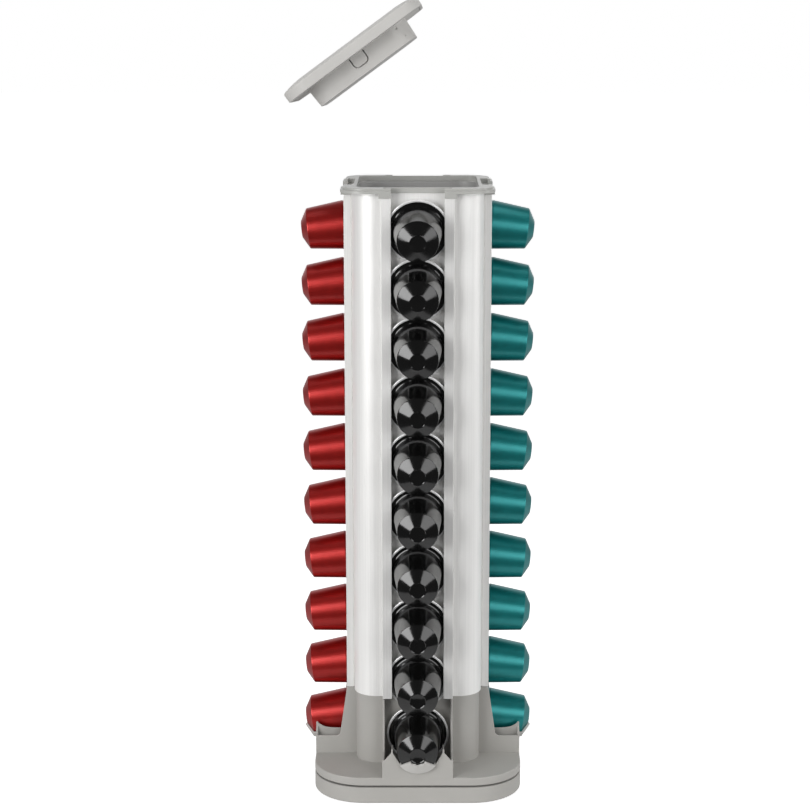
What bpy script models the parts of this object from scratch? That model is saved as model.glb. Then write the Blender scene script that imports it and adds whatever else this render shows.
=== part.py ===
"""A coffee capsule dispenser: a four-column tower on a ball-bearing turntable.

Four extruded corner rails stand round a square storage tube and hold a column of
capsules on each side. The base moulding has a chute with a catch lip under each
column. The tower turns on a foot tray, and a plug-in lid closes the storage tube.

Metres, +Z up. The origin is the centre of the foot's underside, and -Y is the front.
The lid rests in mid-air beside the tower, as when it is being lifted off.
"""

from math import asin, atan2, cos, degrees, pi, radians, sin, sqrt

import bmesh
import bpy
from mathutils import Matrix, Vector

# The gap between touching pieces, the overrun of cuts and joins, and the merging distance
GAP = 0.0003
OVERRUN = 0.0006
MERGE = 0.000002

# Capsule: a rim, a tapered body, a shoulder and a flat nose
RIM_RADIUS = 0.0185
RIM_THICKNESS = 0.0010
BODY_ROOT_RADIUS = 0.01475
SHOULDER_RADIUS = 0.0119
NOSE_RADIUS = 0.0050
NOSE_LENGTH = 0.0039
CAPSULE_LENGTH = 0.0294
SHOULDER_LENGTH = CAPSULE_LENGTH - NOSE_LENGTH
BODY_TAPER = (BODY_ROOT_RADIUS - SHOULDER_RADIUS) / (SHOULDER_LENGTH - RIM_THICKNESS)
CAPSULE_SIDES = 16

# Column of capsules: each body's root rests on the rim of the one below
CAPSULES_PER_COLUMN = 10
CAPSULE_TILT = radians(6.3)
STACK_CLEARANCE = 0.00025832
STACK_REACH = RIM_RADIUS + BODY_ROOT_RADIUS + BODY_TAPER * RIM_THICKNESS + STACK_CLEARANCE
CAPSULE_PITCH = STACK_REACH / (cos(CAPSULE_TILT) + BODY_TAPER * sin(CAPSULE_TILT))
RIM_RISE = RIM_RADIUS * cos(CAPSULE_TILT) + RIM_THICKNESS / 2 * sin(CAPSULE_TILT)
RIM_LEAN = RIM_RADIUS * sin(CAPSULE_TILT) + RIM_THICKNESS / 2
LOWEST_SLIDE_OUT = 0.0004

# Rim channels, which are as wide as a rim, and the tube between them
RIM_CLEARANCE = 0.0009
LEG_INNER = RIM_RADIUS + RIM_CLEARANCE
LEG_WALL = 0.0014
LEG_OUTER = LEG_INNER + LEG_WALL
COLUMN_FLAT = 0.0032
CORNER_CENTRE = LEG_OUTER + COLUMN_FLAT
TUBE_CORNER = 0.0124
TUBE_HALF = CORNER_CENTRE + TUBE_CORNER
TUBE_WALL = 0.0014
TUBE_INNER_HALF = TUBE_HALF - TUBE_WALL
RIM_PLACE = TUBE_HALF + GAP + RIM_LEAN

# Extruded corner rails
RAIL_WALL = 0.0013
COLUMN_RADIUS = TUBE_CORNER + GAP + RAIL_WALL
RIM_CHANNEL_DEPTH = 0.0050
FLANGE_WALL = 0.0013
FLANGE_INNER = TUBE_HALF + RIM_CHANNEL_DEPTH
FLANGE_PLANE = FLANGE_INNER + FLANGE_WALL
NECK_CLEARANCE = 0.0005
FLANGE_TIP = BODY_ROOT_RADIUS + NECK_CLEARANCE

# Foot tray and its pads
NOSE_OUT = 0.0068300848
FOOT_HALF = RIM_PLACE + CAPSULE_LENGTH - NOSE_OUT
FOOT_CORNER = 0.0300
FOOT_RISE = 0.0006
FOOT_TOP = 0.0108
FOOT_WALL = 0.0020
FOOT_EDGE = 0.0012
FOOT_PAD_RADIUS = 0.0160
RUBBER_RADIUS = 0.0060
RUBBER_HEIGHT = 0.0015
RUBBER_INSET = 0.0198
RUBBER_PLACE = FOOT_HALF - RUBBER_INSET

# Ball bearing of the turntable
BALL_RADIUS = 0.0030
BALL_COUNT = 6
BALL_CLEARANCE = 0.0003
TRACK_INSET = 0.0198
TRACK_RADIUS = FOOT_HALF - TRACK_INSET
RACE_HALF_WIDTH = 0.0045
RACE_THICKNESS = 0.0034
BALL_OVER_RACE = 0.0012
CAGE_THICKNESS = 0.0016
CAGE_CLEARANCE = 0.0004
LOCATOR_WALL = 0.0015
LOCATOR_RISE = 0.0028
FOOT_FLOOR = FOOT_RISE + FOOT_WALL
LOWER_RACE_BOTTOM = FOOT_FLOOR + GAP
LOWER_RACE_TOP = LOWER_RACE_BOTTOM + RACE_THICKNESS
BALL_HEIGHT = LOWER_RACE_TOP + BALL_OVER_RACE
UPPER_RACE_BOTTOM = BALL_HEIGHT + BALL_OVER_RACE
UPPER_RACE_TOP = UPPER_RACE_BOTTOM + RACE_THICKNESS

# Pivot of the turntable
POST_RADIUS = 0.0060
POST_CLEARANCE = 0.0003
SCREW_RADIUS = 0.0016
SCREW_LENGTH = 0.0100
SCREW_HEAD_RADIUS = 0.0040
SCREW_HEAD_HEIGHT = 0.0024
SCREW_HEAD_EDGE = 0.0006
WASHER_RADIUS = 0.0110
WASHER_THICKNESS = 0.0010

# Base moulding
TURNING_CLEARANCE = 0.0006
DECK_BOTTOM = FOOT_TOP + TURNING_CLEARANCE
RACE_SEAT_RISE = 0.0018
DECK_UNDERSIDE = UPPER_RACE_TOP + GAP + RACE_SEAT_RISE
DECK_PLATE = 0.0024
DECK_TOP = DECK_UNDERSIDE + DECK_PLATE
DECK_EDGE = 0.0007
RAIL_SEAT_RISE = 0.04175
RAIL_SEAT = DECK_TOP + RAIL_SEAT_RISE
BOX_OVER_SEAT = 0.00765
BOX_TOP = RAIL_SEAT + BOX_OVER_SEAT
BOX_WALL = 0.0028
BOX_INNER_HALF = TUBE_HALF - BOX_WALL
SPIGOT_RISE = 0.0060
POST_COLUMN_STEP = 0.0010
POST_COLUMN_RADIUS = COLUMN_RADIUS - POST_COLUMN_STEP
CHUTE_FLOOR_RISE = 0.00065686
LOWEST_RIM_HEIGHT = DECK_TOP + CHUTE_FLOOR_RISE + GAP + RIM_RISE
CHUTE_CUT_RISE = 0.0108
CHUTE_CUT_HEIGHT = DECK_TOP + CHUTE_CUT_RISE
CHUTE_CUT_SETBACK = 0.0042
CHUTE_CUT_NEAR = FLANGE_PLANE + CHUTE_CUT_SETBACK
CHUTE_CUT_ROUND = 0.0026
END_WALL = 0.0013
END_WALL_STEP = 0.0016
FENCE_INSET = 0.00075
FENCE_INNER = FLANGE_TIP - FENCE_INSET
FENCE_WALL = 0.0011
FENCE_SETBACK = 0.0008
FENCE_NEAR = FLANGE_PLANE + FENCE_SETBACK
FENCE_RISE = 0.0138
FENCE_TOP = DECK_TOP + FENCE_RISE
FENCE_PEAK_RISE = 0.0039
FENCE_PEAK = FENCE_TOP + FENCE_PEAK_RISE
LIP_CLEARANCE = 0.0004
LIP_WALL = 0.0012
LIP_TIP_WALL = 0.0007
LIP_HALF_ANGLE = radians(52)

# Heights of the rails, which reach past the highest rim
RAIL_BOTTOM = RAIL_SEAT + GAP
HIGHEST_RIM_HEIGHT = LOWEST_RIM_HEIGHT + (CAPSULES_PER_COLUMN - 1) * CAPSULE_PITCH
RAIL_HEADROOM = 0.0032
RAIL_TOP = HIGHEST_RIM_HEIGHT + RIM_RADIUS + RAIL_HEADROOM

# Compartment floor, a tray over the screw's head
FLOOR_WALL = 0.0018
SCREW_HEAD_TOP = DECK_TOP + GAP + WASHER_THICKNESS + GAP + SCREW_HEAD_HEIGHT
SCREW_HEADROOM = 0.0021
FLOOR_HEIGHT = SCREW_HEAD_TOP + SCREW_HEADROOM + FLOOR_WALL

# Top collar
COLLAR_FACE_WALL = 0.0013
COLLAR_LOWER_HALF = FLANGE_PLANE + GAP + COLLAR_FACE_WALL
COLLAR_STEP = 0.0015
COLLAR_UPPER_HALF = COLLAR_LOWER_HALF - COLLAR_STEP
COLLAR_CORNER = 0.0150
COLLAR_SOCKET_DEPTH = 0.0024
COLLAR_SOCKET_WALL = 0.0011
COLLAR_LOWER_PLATE = 0.0015
COLLAR_RISE = 0.0028
COLLAR_TOP = RAIL_TOP + GAP + COLLAR_RISE
COLLAR_OPENING_HALF = TUBE_INNER_HALF
COLLAR_OPENING_CORNER = 0.0060
COLLAR_BAR = 0.0019

# Lid
LID_OVERHANG = 0.00195
LID_HALF = COLLAR_LOWER_HALF + LID_OVERHANG
LID_CORNER = 0.0150
LID_BAND = 0.0060
LID_EDGE = 0.0009
LID_CROWN = 0.0018
LID_WALL = 0.0020
PLUG_CLEARANCE = 0.0009
PLUG_HALF = COLLAR_OPENING_HALF - PLUG_CLEARANCE
PLUG_CORNER = 0.0120
PLUG_DEPTH = 0.0120
PLUG_DRAFT = 0.0007
PLUG_WALL = 0.0018
PLUG_FLANGE = 0.0015
PLUG_EDGE = 0.0006
TONGUE_WIDTH = 0.0100
TONGUE_HEIGHT = 0.0076
TONGUE_CORNER = 0.0030
TONGUE_SLOT = 0.0006

# Axis that the lid is lifted about, from the centre of its seat
LID_PIVOT_LEFT = 0.1284
LID_PIVOT_DOWN = 0.0164
LID_AXIS_YAW = radians(4)
LID_LIFT = radians(36.3)

# Counts of facets, and the smallest angle that is drawn as a crease
CORNER_STEPS = 6
RACE_STEPS = 32
SMALL_STEPS = 20
GROOVE_STEPS = 4
BALL_STEPS = 10
LIP_COLUMNS = 10
FENCE_STEPS = 5
CREASE = radians(35)

SEAT = COLLAR_TOP + GAP
SIDES = range(4)


def material(name, colour, roughness, metallic=0.0):
    made = bpy.data.materials.new(name)
    made.use_nodes = True
    shader = made.node_tree.nodes["Principled BSDF"]
    shader.inputs["Base Color"].default_value = (*colour, 1.0)
    shader.inputs["Roughness"].default_value = roughness
    shader.inputs["Metallic"].default_value = metallic
    made.diffuse_color = (*colour, 1.0)
    return made


def clear_scene():
    for obj in list(bpy.data.objects):
        bpy.data.objects.remove(obj, do_unlink=True)


def object_from(name, bm, surface=None):
    """Closes a bmesh into an object whose faces point out."""
    bmesh.ops.recalc_face_normals(bm, faces=bm.faces)
    mesh = bpy.data.meshes.new(name)
    bm.to_mesh(mesh)
    bm.free()
    mesh.shade_smooth()
    mesh.set_sharp_from_angle(angle=CREASE)
    if surface:
        mesh.materials.append(surface)
    obj = bpy.data.objects.new(name, mesh)
    bpy.context.scene.collection.objects.link(obj)
    return obj


def helper(obj):
    """Hides a cutter or an added lump, which only a Boolean reads."""
    obj.hide_render = True
    obj.display_type = "WIRE"
    return obj


def combine(obj, helpers, operation):
    group = bpy.data.collections.new(f"{obj.name}_{operation.lower()}")
    for lump in helpers:
        group.objects.link(helper(lump))
    boolean = obj.modifiers.new(operation.title(), "BOOLEAN")
    boolean.operation = operation
    boolean.operand_type = "COLLECTION"
    boolean.collection = group
    boolean.solver = "EXACT"


def arc(centre, radius, start, end, steps):
    """Points of an arc from one angle to another, both ends included."""
    angles = [start + (end - start) * i / steps for i in range(steps + 1)]
    return [(centre[0] + radius * cos(a), centre[1] + radius * sin(a)) for a in angles]


def rounded_square(half, corner):
    points = []
    for side in SIDES:
        turn = side * pi / 2
        reach = half - corner
        centre = (
            reach * (cos(turn) - sin(turn)),
            reach * (sin(turn) + cos(turn)),
        )
        points += arc(centre, corner, turn, turn + pi / 2, CORNER_STEPS)
    return points


def lofted(name, rings, capped, surface=None):
    """Joins outlines (points, height) one after another, and caps the first and last
    or else joins them to each other."""
    bm = bmesh.new()
    loops = [[bm.verts.new((x, y, z)) for x, y in points] for points, z in rings]
    pairs = list(zip(loops, loops[1:]))
    if not capped:
        pairs.append((loops[-1], loops[0]))
    for lower, upper in pairs:
        for i in range(len(lower)):
            j = (i + 1) % len(lower)
            bm.faces.new((lower[i], lower[j], upper[j], upper[i]))
    if capped:
        bm.faces.new(loops[0])
        bm.faces.new(loops[-1])
    return object_from(name, bm, surface)


def squares(levels):
    """Rounded squares (half, corner, height) as rings for lofted."""
    return [(rounded_square(half, corner), z) for half, corner, z in levels]


def prism(name, points, low, high, surface=None):
    return lofted(name, [(points, low), (points, high)], True, surface)


def box(name, low, high):
    corners = [(low[0], low[1]), (high[0], low[1]), (high[0], high[1]), (low[0], high[1])]
    return prism(name, corners, low[2], high[2])


def turned(name, profile, steps, surface=None, ring=False):
    """Turns a profile (radius, height) about Z. A ring's profile is a closed loop."""
    bm = bmesh.new()
    verts = [bm.verts.new((radius, 0, z)) for radius, z in profile]
    ends = zip(verts, verts[1:] + verts[:1]) if ring else zip(verts, verts[1:])
    edges = [bm.edges.new(pair) for pair in ends]
    bmesh.ops.spin(
        bm, geom=verts + edges, cent=(0, 0, 0), axis=(0, 0, 1), angle=2 * pi, steps=steps
    )
    bmesh.ops.remove_doubles(bm, verts=bm.verts, dist=MERGE)
    return object_from(name, bm, surface)


def upright(name, points, near, far):
    """A plate whose outline (x, z) stands across the front, from one y to another."""
    obj = prism(name, points, near, far)
    obj.data.transform(Matrix(((1, 0, 0, 0), (0, 0, 1, 0), (0, 1, 0, 0), (0, 0, 0, 1))))
    obj.data.flip_normals()
    return obj


def sidelong(name, points, near, far):
    """A plate whose outline (distance out of the front, z) spans from one x to another."""
    obj = prism(name, points, near, far)
    obj.data.transform(Matrix(((0, 0, 1, 0), (-1, 0, 0, 0), (0, 1, 0, 0), (0, 0, 0, 1))))
    return obj


def on_side(obj, side):
    """A copy of a front piece, turned to another side of the tower."""
    copy = obj.copy()
    copy.name = f"{obj.name}_{side}"
    copy.rotation_euler[2] = side * pi / 2
    bpy.context.scene.collection.objects.link(copy)
    return copy


def around(pieces):
    """Each front piece on all four sides."""
    return [on_side(obj, side) if side else obj for obj in pieces for side in SIDES]


# Capsule


def capsule_radius(along):
    """Radius of the body at a distance from the middle of the rim."""
    shoulder = SHOULDER_LENGTH - RIM_THICKNESS / 2
    nose = CAPSULE_LENGTH - RIM_THICKNESS / 2
    root = RIM_THICKNESS / 2
    if along > shoulder:
        share = (along - shoulder) / (nose - shoulder)
        return SHOULDER_RADIUS + (NOSE_RADIUS - SHOULDER_RADIUS) * share
    return BODY_ROOT_RADIUS - BODY_TAPER * (along - root)


def capsule_mesh(name, surface):
    foil = -RIM_THICKNESS / 2
    nose = foil + CAPSULE_LENGTH
    profile = [
        (0, nose),
        (NOSE_RADIUS, nose),
        (SHOULDER_RADIUS, foil + SHOULDER_LENGTH),
        (BODY_ROOT_RADIUS, foil + RIM_THICKNESS),
        (RIM_RADIUS, foil + RIM_THICKNESS),
        (RIM_RADIUS, foil),
        (0, foil),
    ]
    shape = turned(name, profile, CAPSULE_SIDES, surface)
    mesh = shape.data
    bpy.data.objects.remove(shape)
    return mesh


def capsule_column(label, side, surface):
    """Ten capsules behind the flanges of one channel, each tipped nose down."""
    outward = side * pi / 2 - pi / 2
    mesh = capsule_mesh(f"capsule_{label}", surface)
    for i in range(CAPSULES_PER_COLUMN):
        reach = RIM_PLACE + (0 if i else LOWEST_SLIDE_OUT)
        obj = bpy.data.objects.new(f"capsule_{label}_{i + 1:02d}", mesh)
        height = LOWEST_RIM_HEIGHT + i * CAPSULE_PITCH
        obj.location = (reach * cos(outward), reach * sin(outward), height)
        obj.rotation_euler = (0, pi / 2 + CAPSULE_TILT, outward)
        bpy.context.scene.collection.objects.link(obj)


# Turntable


def foot_tray(surface):
    tray = lofted(
        "foot_tray",
        squares(
            [
                (FOOT_HALF - FOOT_EDGE, FOOT_CORNER - FOOT_EDGE, FOOT_RISE),
                (FOOT_HALF, FOOT_CORNER, FOOT_RISE + FOOT_EDGE),
                (FOOT_HALF, FOOT_CORNER, FOOT_TOP),
                (FOOT_HALF - FOOT_WALL, FOOT_CORNER - FOOT_WALL, FOOT_TOP),
                (FOOT_HALF - FOOT_WALL, FOOT_CORNER - FOOT_WALL, FOOT_FLOOR),
            ]
        ),
        True,
        surface,
    )
    post_top = DECK_TOP
    bore = SCREW_RADIUS + GAP
    post = turned(
        "pivot_post",
        [(0, post_top), (POST_RADIUS, post_top), (POST_RADIUS, FOOT_FLOOR - OVERRUN),
         (FOOT_PAD_RADIUS, FOOT_FLOOR - OVERRUN), (FOOT_PAD_RADIUS, 0), (0, 0)],
        SMALL_STEPS,
    )
    locator_outer = TRACK_RADIUS - RACE_HALF_WIDTH - GAP
    locator = turned(
        "race_locator",
        [(locator_outer - LOCATOR_WALL, FOOT_FLOOR + LOCATOR_RISE),
         (locator_outer, FOOT_FLOOR + LOCATOR_RISE),
         (locator_outer, FOOT_FLOOR - OVERRUN),
         (locator_outer - LOCATOR_WALL, FOOT_FLOOR - OVERRUN)],
        RACE_STEPS,
        ring=True,
    )
    combine(tray, [post, locator], "UNION")
    hole_bottom = post_top - SCREW_LENGTH - GAP
    cuts = [
        turned(
            "post_bore",
            [(0, post_top + OVERRUN), (bore, post_top + OVERRUN), (bore, hole_bottom),
             (0, hole_bottom)],
            SMALL_STEPS,
        )
    ]
    pocket = RUBBER_RADIUS + GAP
    for i, (x, y) in enumerate(rubber_places()):
        cut = turned(
            f"pad_pocket_{i}",
            [(0, RUBBER_HEIGHT + GAP), (pocket, RUBBER_HEIGHT + GAP), (pocket, -OVERRUN),
             (0, -OVERRUN)],
            SMALL_STEPS,
        )
        cut.location = (x, y, 0)
        cuts.append(cut)
    combine(tray, cuts, "DIFFERENCE")


def rubber_places():
    return [(x * RUBBER_PLACE, y * RUBBER_PLACE) for x in (-1, 1) for y in (-1, 1)]


def rubber_feet(surface):
    for i, (x, y) in enumerate(rubber_places()):
        foot = turned(
            f"rubber_foot_{i + 1}",
            [(0, RUBBER_HEIGHT), (RUBBER_RADIUS, RUBBER_HEIGHT), (RUBBER_RADIUS, 0), (0, 0)],
            SMALL_STEPS,
            surface,
        )
        foot.location = (x, y, 0)


def race(name, back, face, surface):
    """A ring with a groove for the balls, from its flat back to its grooved face."""
    up = 1 if face > back else -1
    groove = BALL_RADIUS + BALL_CLEARANCE
    half_angle = pi / 2 - asin(BALL_OVER_RACE / groove)
    middle = -up * pi / 2
    inner = TRACK_RADIUS - RACE_HALF_WIDTH
    outer = TRACK_RADIUS + RACE_HALF_WIDTH
    sweep = arc(
        (TRACK_RADIUS, BALL_HEIGHT), groove, middle + up * half_angle,
        middle - up * half_angle, GROOVE_STEPS,
    )
    profile = [(inner, back), (outer, back), (outer, face), *sweep, (inner, face)]
    return turned(name, profile, RACE_STEPS, surface, ring=True)


def ball_cage(surface):
    low = BALL_HEIGHT - CAGE_THICKNESS / 2
    high = low + CAGE_THICKNESS
    inner = TRACK_RADIUS - RACE_HALF_WIDTH
    outer = TRACK_RADIUS + RACE_HALF_WIDTH
    cage = turned(
        "ball_cage",
        [(inner, low), (outer, low), (outer, high), (inner, high)],
        RACE_STEPS,
        surface,
        ring=True,
    )
    hole = BALL_RADIUS + CAGE_CLEARANCE
    cuts = []
    for i, (x, y) in enumerate(ball_places()):
        cut = turned(
            f"cage_hole_{i}",
            [(0, high + OVERRUN), (hole, high + OVERRUN), (hole, low - OVERRUN),
             (0, low - OVERRUN)],
            SMALL_STEPS // 2,
        )
        cut.location = (x, y, 0)
        cuts.append(cut)
    combine(cage, cuts, "DIFFERENCE")


def ball_places():
    angles = [2 * pi * i / BALL_COUNT for i in range(BALL_COUNT)]
    return [(TRACK_RADIUS * cos(a), TRACK_RADIUS * sin(a)) for a in angles]


def bearing_balls(surface):
    for i, (x, y) in enumerate(ball_places()):
        bm = bmesh.new()
        bmesh.ops.create_uvsphere(
            bm, u_segments=BALL_STEPS, v_segments=BALL_STEPS // 2, radius=BALL_RADIUS
        )
        ball = object_from(f"bearing_ball_{i + 1}", bm, surface)
        ball.location = (x, y, BALL_HEIGHT)


def pivot_screw_and_washer(surface):
    washer_low = DECK_TOP + GAP
    washer_high = washer_low + WASHER_THICKNESS
    hole = SCREW_RADIUS + GAP
    turned(
        "pivot_washer",
        [(hole, washer_low), (WASHER_RADIUS, washer_low), (WASHER_RADIUS, washer_high),
         (hole, washer_high)],
        SMALL_STEPS,
        surface,
        ring=True,
    )
    head_low = washer_high + GAP
    head_high = head_low + SCREW_HEAD_HEIGHT
    socket = SCREW_HEAD_RADIUS / 2
    turned(
        "pivot_screw",
        [(0, head_high - SCREW_HEAD_HEIGHT / 2), (socket, head_high - SCREW_HEAD_HEIGHT / 2),
         (socket, head_high), (SCREW_HEAD_RADIUS - SCREW_HEAD_EDGE, head_high),
         (SCREW_HEAD_RADIUS, head_high - SCREW_HEAD_EDGE), (SCREW_HEAD_RADIUS, head_low),
         (SCREW_RADIUS, head_low), (SCREW_RADIUS, DECK_TOP - SCREW_LENGTH),
         (0, DECK_TOP - SCREW_LENGTH)],
        SMALL_STEPS,
        surface,
    )


# Base moulding


def chute_side_walls():
    """The two walls of a channel's foot, with the window cut down beside the nose."""
    inside = FOOT_HALF - END_WALL
    knee = (CHUTE_CUT_NEAR + CHUTE_CUT_ROUND, CHUTE_CUT_HEIGHT + CHUTE_CUT_ROUND)
    slope = atan2(RAIL_SEAT - knee[1], FLANGE_PLANE - CHUTE_CUT_NEAR)
    root = TUBE_HALF - OVERRUN
    outline = [
        (root, DECK_TOP - OVERRUN),
        (FOOT_HALF - DECK_EDGE, DECK_TOP - OVERRUN),
        (FOOT_HALF, DECK_TOP),
        (FOOT_HALF, CHUTE_CUT_HEIGHT + END_WALL / 2),
        (inside, CHUTE_CUT_HEIGHT),
        *arc(knee, CHUTE_CUT_ROUND, -pi / 2, slope - 3 * pi / 2, FENCE_STEPS),
        (FLANGE_PLANE, RAIL_SEAT),
        (root, RAIL_SEAT),
    ]
    return [
        sidelong("chute_wall_right", outline, LEG_INNER, LEG_OUTER),
        sidelong("chute_wall_left", outline, -LEG_OUTER, -LEG_INNER),
    ]


def lip_axis_height(along):
    return LOWEST_RIM_HEIGHT - along * sin(CAPSULE_TILT)


def lip_point(along, angle, clearance):
    """A point beside the lowest capsule's body, at an angle from straight below."""
    radius = capsule_radius(along) + clearance
    rim = RIM_PLACE + LOWEST_SLIDE_OUT
    return (
        radius * sin(angle),
        -(rim + along * cos(CAPSULE_TILT) - radius * cos(angle) * sin(CAPSULE_TILT)),
        lip_axis_height(along) - radius * cos(angle) * cos(CAPSULE_TILT),
    )


def end_wall():
    """The front wall of a chute: a round cut for the nose between two pointed fences."""
    wall_along = (FOOT_HALF - END_WALL / 2 - RIM_PLACE) / cos(CAPSULE_TILT)
    centre = (0, lip_axis_height(wall_along))
    cut = capsule_radius(wall_along) + LIP_CLEARANCE + LIP_WALL / 2
    bow = arc(centre, cut, -pi / 2 + LIP_HALF_ANGLE, -pi / 2 - LIP_HALF_ANGLE, LIP_COLUMNS)
    fence_outer = FENCE_INNER + FENCE_WALL
    shoulder = FENCE_TOP + END_WALL_STEP
    half = [
        (LEG_OUTER, DECK_TOP - OVERRUN),
        (LEG_OUTER, CHUTE_CUT_HEIGHT),
        (LEG_INNER, CHUTE_CUT_HEIGHT),
        (fence_outer, shoulder),
        (fence_outer, FENCE_PEAK),
        (FENCE_INNER, FENCE_PEAK),
        (FENCE_INNER, shoulder),
    ]
    mirrored = [(-x, z) for x, z in reversed(half)]
    return upright("end_wall", half + bow + mirrored, -FOOT_HALF, END_WALL - FOOT_HALF)


def fences():
    """Two upright fences inside a chute, on which the nose end lies between them."""
    length = FOOT_HALF - END_WALL / 2 - FENCE_NEAR
    rise = []
    for i in range(FENCE_STEPS + 1):
        share = i / FENCE_STEPS
        height = FENCE_TOP + (FENCE_PEAK - FENCE_TOP) * share**5
        rise.append((FENCE_NEAR + length * share, height))
    outline = [
        (FENCE_NEAR, DECK_TOP - OVERRUN),
        (FENCE_NEAR + length, DECK_TOP - OVERRUN),
        *reversed(rise),
    ]
    outer = FENCE_INNER + FENCE_WALL
    return [
        sidelong("fence_right", outline, FENCE_INNER, outer),
        sidelong("fence_left", outline, -outer, -FENCE_INNER),
    ]


def catch_lip():
    """The spout that catches the lowest nose: a shell that runs round the capsule's
    shoulder and cone, thinner towards its scalloped tip."""
    shoulder = SHOULDER_LENGTH - RIM_THICKNESS / 2
    nose = CAPSULE_LENGTH - RIM_THICKNESS / 2
    start = (FOOT_HALF - END_WALL * 3 / 4 - RIM_PLACE) / cos(CAPSULE_TILT)
    stations = [(start, LIP_WALL), (shoulder, LIP_WALL), (nose, LIP_TIP_WALL)]
    bm = bmesh.new()
    inner, outer = [], []
    for i in range(LIP_COLUMNS + 1):
        angle = LIP_HALF_ANGLE * (2 * i / LIP_COLUMNS - 1)
        short = (nose - shoulder) / 4 * (angle / LIP_HALF_ANGLE) ** 2
        places = [(along if along < nose else nose - short, wall) for along, wall in stations]
        inner.append([bm.verts.new(lip_point(s, angle, LIP_CLEARANCE)) for s, _ in places])
        outer.append([bm.verts.new(lip_point(s, angle, LIP_CLEARANCE + w)) for s, w in places])
    last = len(stations) - 1
    for a, b, c, d in zip(inner, inner[1:], outer, outer[1:]):
        for k in range(last):
            bm.faces.new((a[k], a[k + 1], b[k + 1], b[k]))
            bm.faces.new((c[k], d[k], d[k + 1], c[k + 1]))
        bm.faces.new((a[0], b[0], d[0], c[0]))
        bm.faces.new((a[last], c[last], d[last], b[last]))
    for near, far in ((inner[0], outer[0]), (inner[-1], outer[-1])):
        for k in range(last):
            bm.faces.new((near[k], near[k + 1], far[k + 1], far[k]))
    return object_from("catch_lip", bm)


def chute_floor():
    """A thin raised floor that the lowest rim stands on."""
    return box(
        "chute_floor",
        (-LEG_INNER - OVERRUN, -FENCE_NEAR, DECK_TOP - OVERRUN),
        (LEG_INNER + OVERRUN, OVERRUN - TUBE_HALF, DECK_TOP + CHUTE_FLOOR_RISE),
    )


def base_moulding(surface):
    """Deck, square box, corner posts and four chutes as one moulding."""
    skirt_half = FOOT_HALF - FOOT_WALL
    skirt_corner = FOOT_CORNER - FOOT_WALL
    deck = lofted(
        "base_moulding",
        squares(
            [
                (skirt_half, skirt_corner, DECK_UNDERSIDE),
                (skirt_half, skirt_corner, DECK_BOTTOM),
                (FOOT_HALF, FOOT_CORNER, DECK_BOTTOM),
                (FOOT_HALF, FOOT_CORNER, DECK_TOP - DECK_EDGE),
                (FOOT_HALF - DECK_EDGE, FOOT_CORNER - DECK_EDGE, DECK_TOP),
            ]
        ),
        True,
        surface,
    )
    box_low = DECK_TOP - OVERRUN
    spigot_half = TUBE_INNER_HALF - GAP
    inner_corner = BOX_INNER_HALF - CORNER_CENTRE
    walls = lofted(
        "box_walls",
        squares(
            [
                (TUBE_HALF, TUBE_CORNER, box_low),
                (TUBE_HALF, TUBE_CORNER, BOX_TOP),
                (spigot_half, spigot_half - CORNER_CENTRE, BOX_TOP),
                (spigot_half, spigot_half - CORNER_CENTRE, BOX_TOP + SPIGOT_RISE),
                (BOX_INNER_HALF, inner_corner, BOX_TOP + SPIGOT_RISE),
                (BOX_INNER_HALF, inner_corner, box_low),
            ]
        ),
        False,
    )
    added = [walls, *corner_posts(), upper_race_seat()]
    chute = [*chute_side_walls(), end_wall(), *fences(), catch_lip(), chute_floor()]
    combine(deck, added + around(chute), "UNION")
    bore = POST_RADIUS + POST_CLEARANCE
    hole = turned(
        "deck_bore",
        [(0, DECK_TOP + OVERRUN), (bore, DECK_TOP + OVERRUN), (bore, DECK_BOTTOM),
         (0, DECK_BOTTOM)],
        SMALL_STEPS,
    )
    combine(deck, [hole], "DIFFERENCE")


def corner_posts():
    """Rounded posts under the rails, whose tops are the rails' seats."""
    inner = BOX_INNER_HALF - CORNER_CENTRE + OVERRUN
    posts = []
    for side in SIDES:
        outline = arc((CORNER_CENTRE, CORNER_CENTRE), POST_COLUMN_RADIUS, 0, pi / 2, CORNER_STEPS)
        outline += arc((CORNER_CENTRE, CORNER_CENTRE), inner, pi / 2, 0, CORNER_STEPS)
        far = CORNER_CENTRE + POST_COLUMN_RADIUS
        near = CORNER_CENTRE + inner
        outline = [
            (far, LEG_INNER), *outline[: CORNER_STEPS + 1], (LEG_INNER, far),
            (LEG_INNER, near), *outline[CORNER_STEPS + 1 :], (near, LEG_INNER),
        ]
        post = prism(f"corner_post_{side}", outline, DECK_TOP - OVERRUN, RAIL_SEAT)
        post.rotation_euler[2] = side * pi / 2
        posts.append(post)
    return posts


def upper_race_seat():
    """The ring under the deck that the upper race lies against, with its locating lip."""
    outer = TRACK_RADIUS + RACE_HALF_WIDTH
    inner = TRACK_RADIUS - RACE_HALF_WIDTH - GAP
    face = UPPER_RACE_TOP + GAP
    top = DECK_UNDERSIDE + OVERRUN
    return turned(
        "race_seat",
        [(inner - LOCATOR_WALL, top), (outer, top), (outer, face), (inner, face),
         (inner, face - LOCATOR_RISE), (inner - LOCATOR_WALL, face - LOCATOR_RISE)],
        RACE_STEPS,
        ring=True,
    )


# Tower


def compartment_tube(surface):
    low = BOX_TOP + GAP
    inner = TUBE_INNER_HALF
    lofted(
        "compartment_tube",
        squares(
            [
                (TUBE_HALF, TUBE_CORNER, low),
                (TUBE_HALF, TUBE_CORNER, RAIL_TOP),
                (inner, inner - CORNER_CENTRE, RAIL_TOP),
                (inner, inner - CORNER_CENTRE, low),
            ]
        ),
        False,
        surface,
    )


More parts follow.
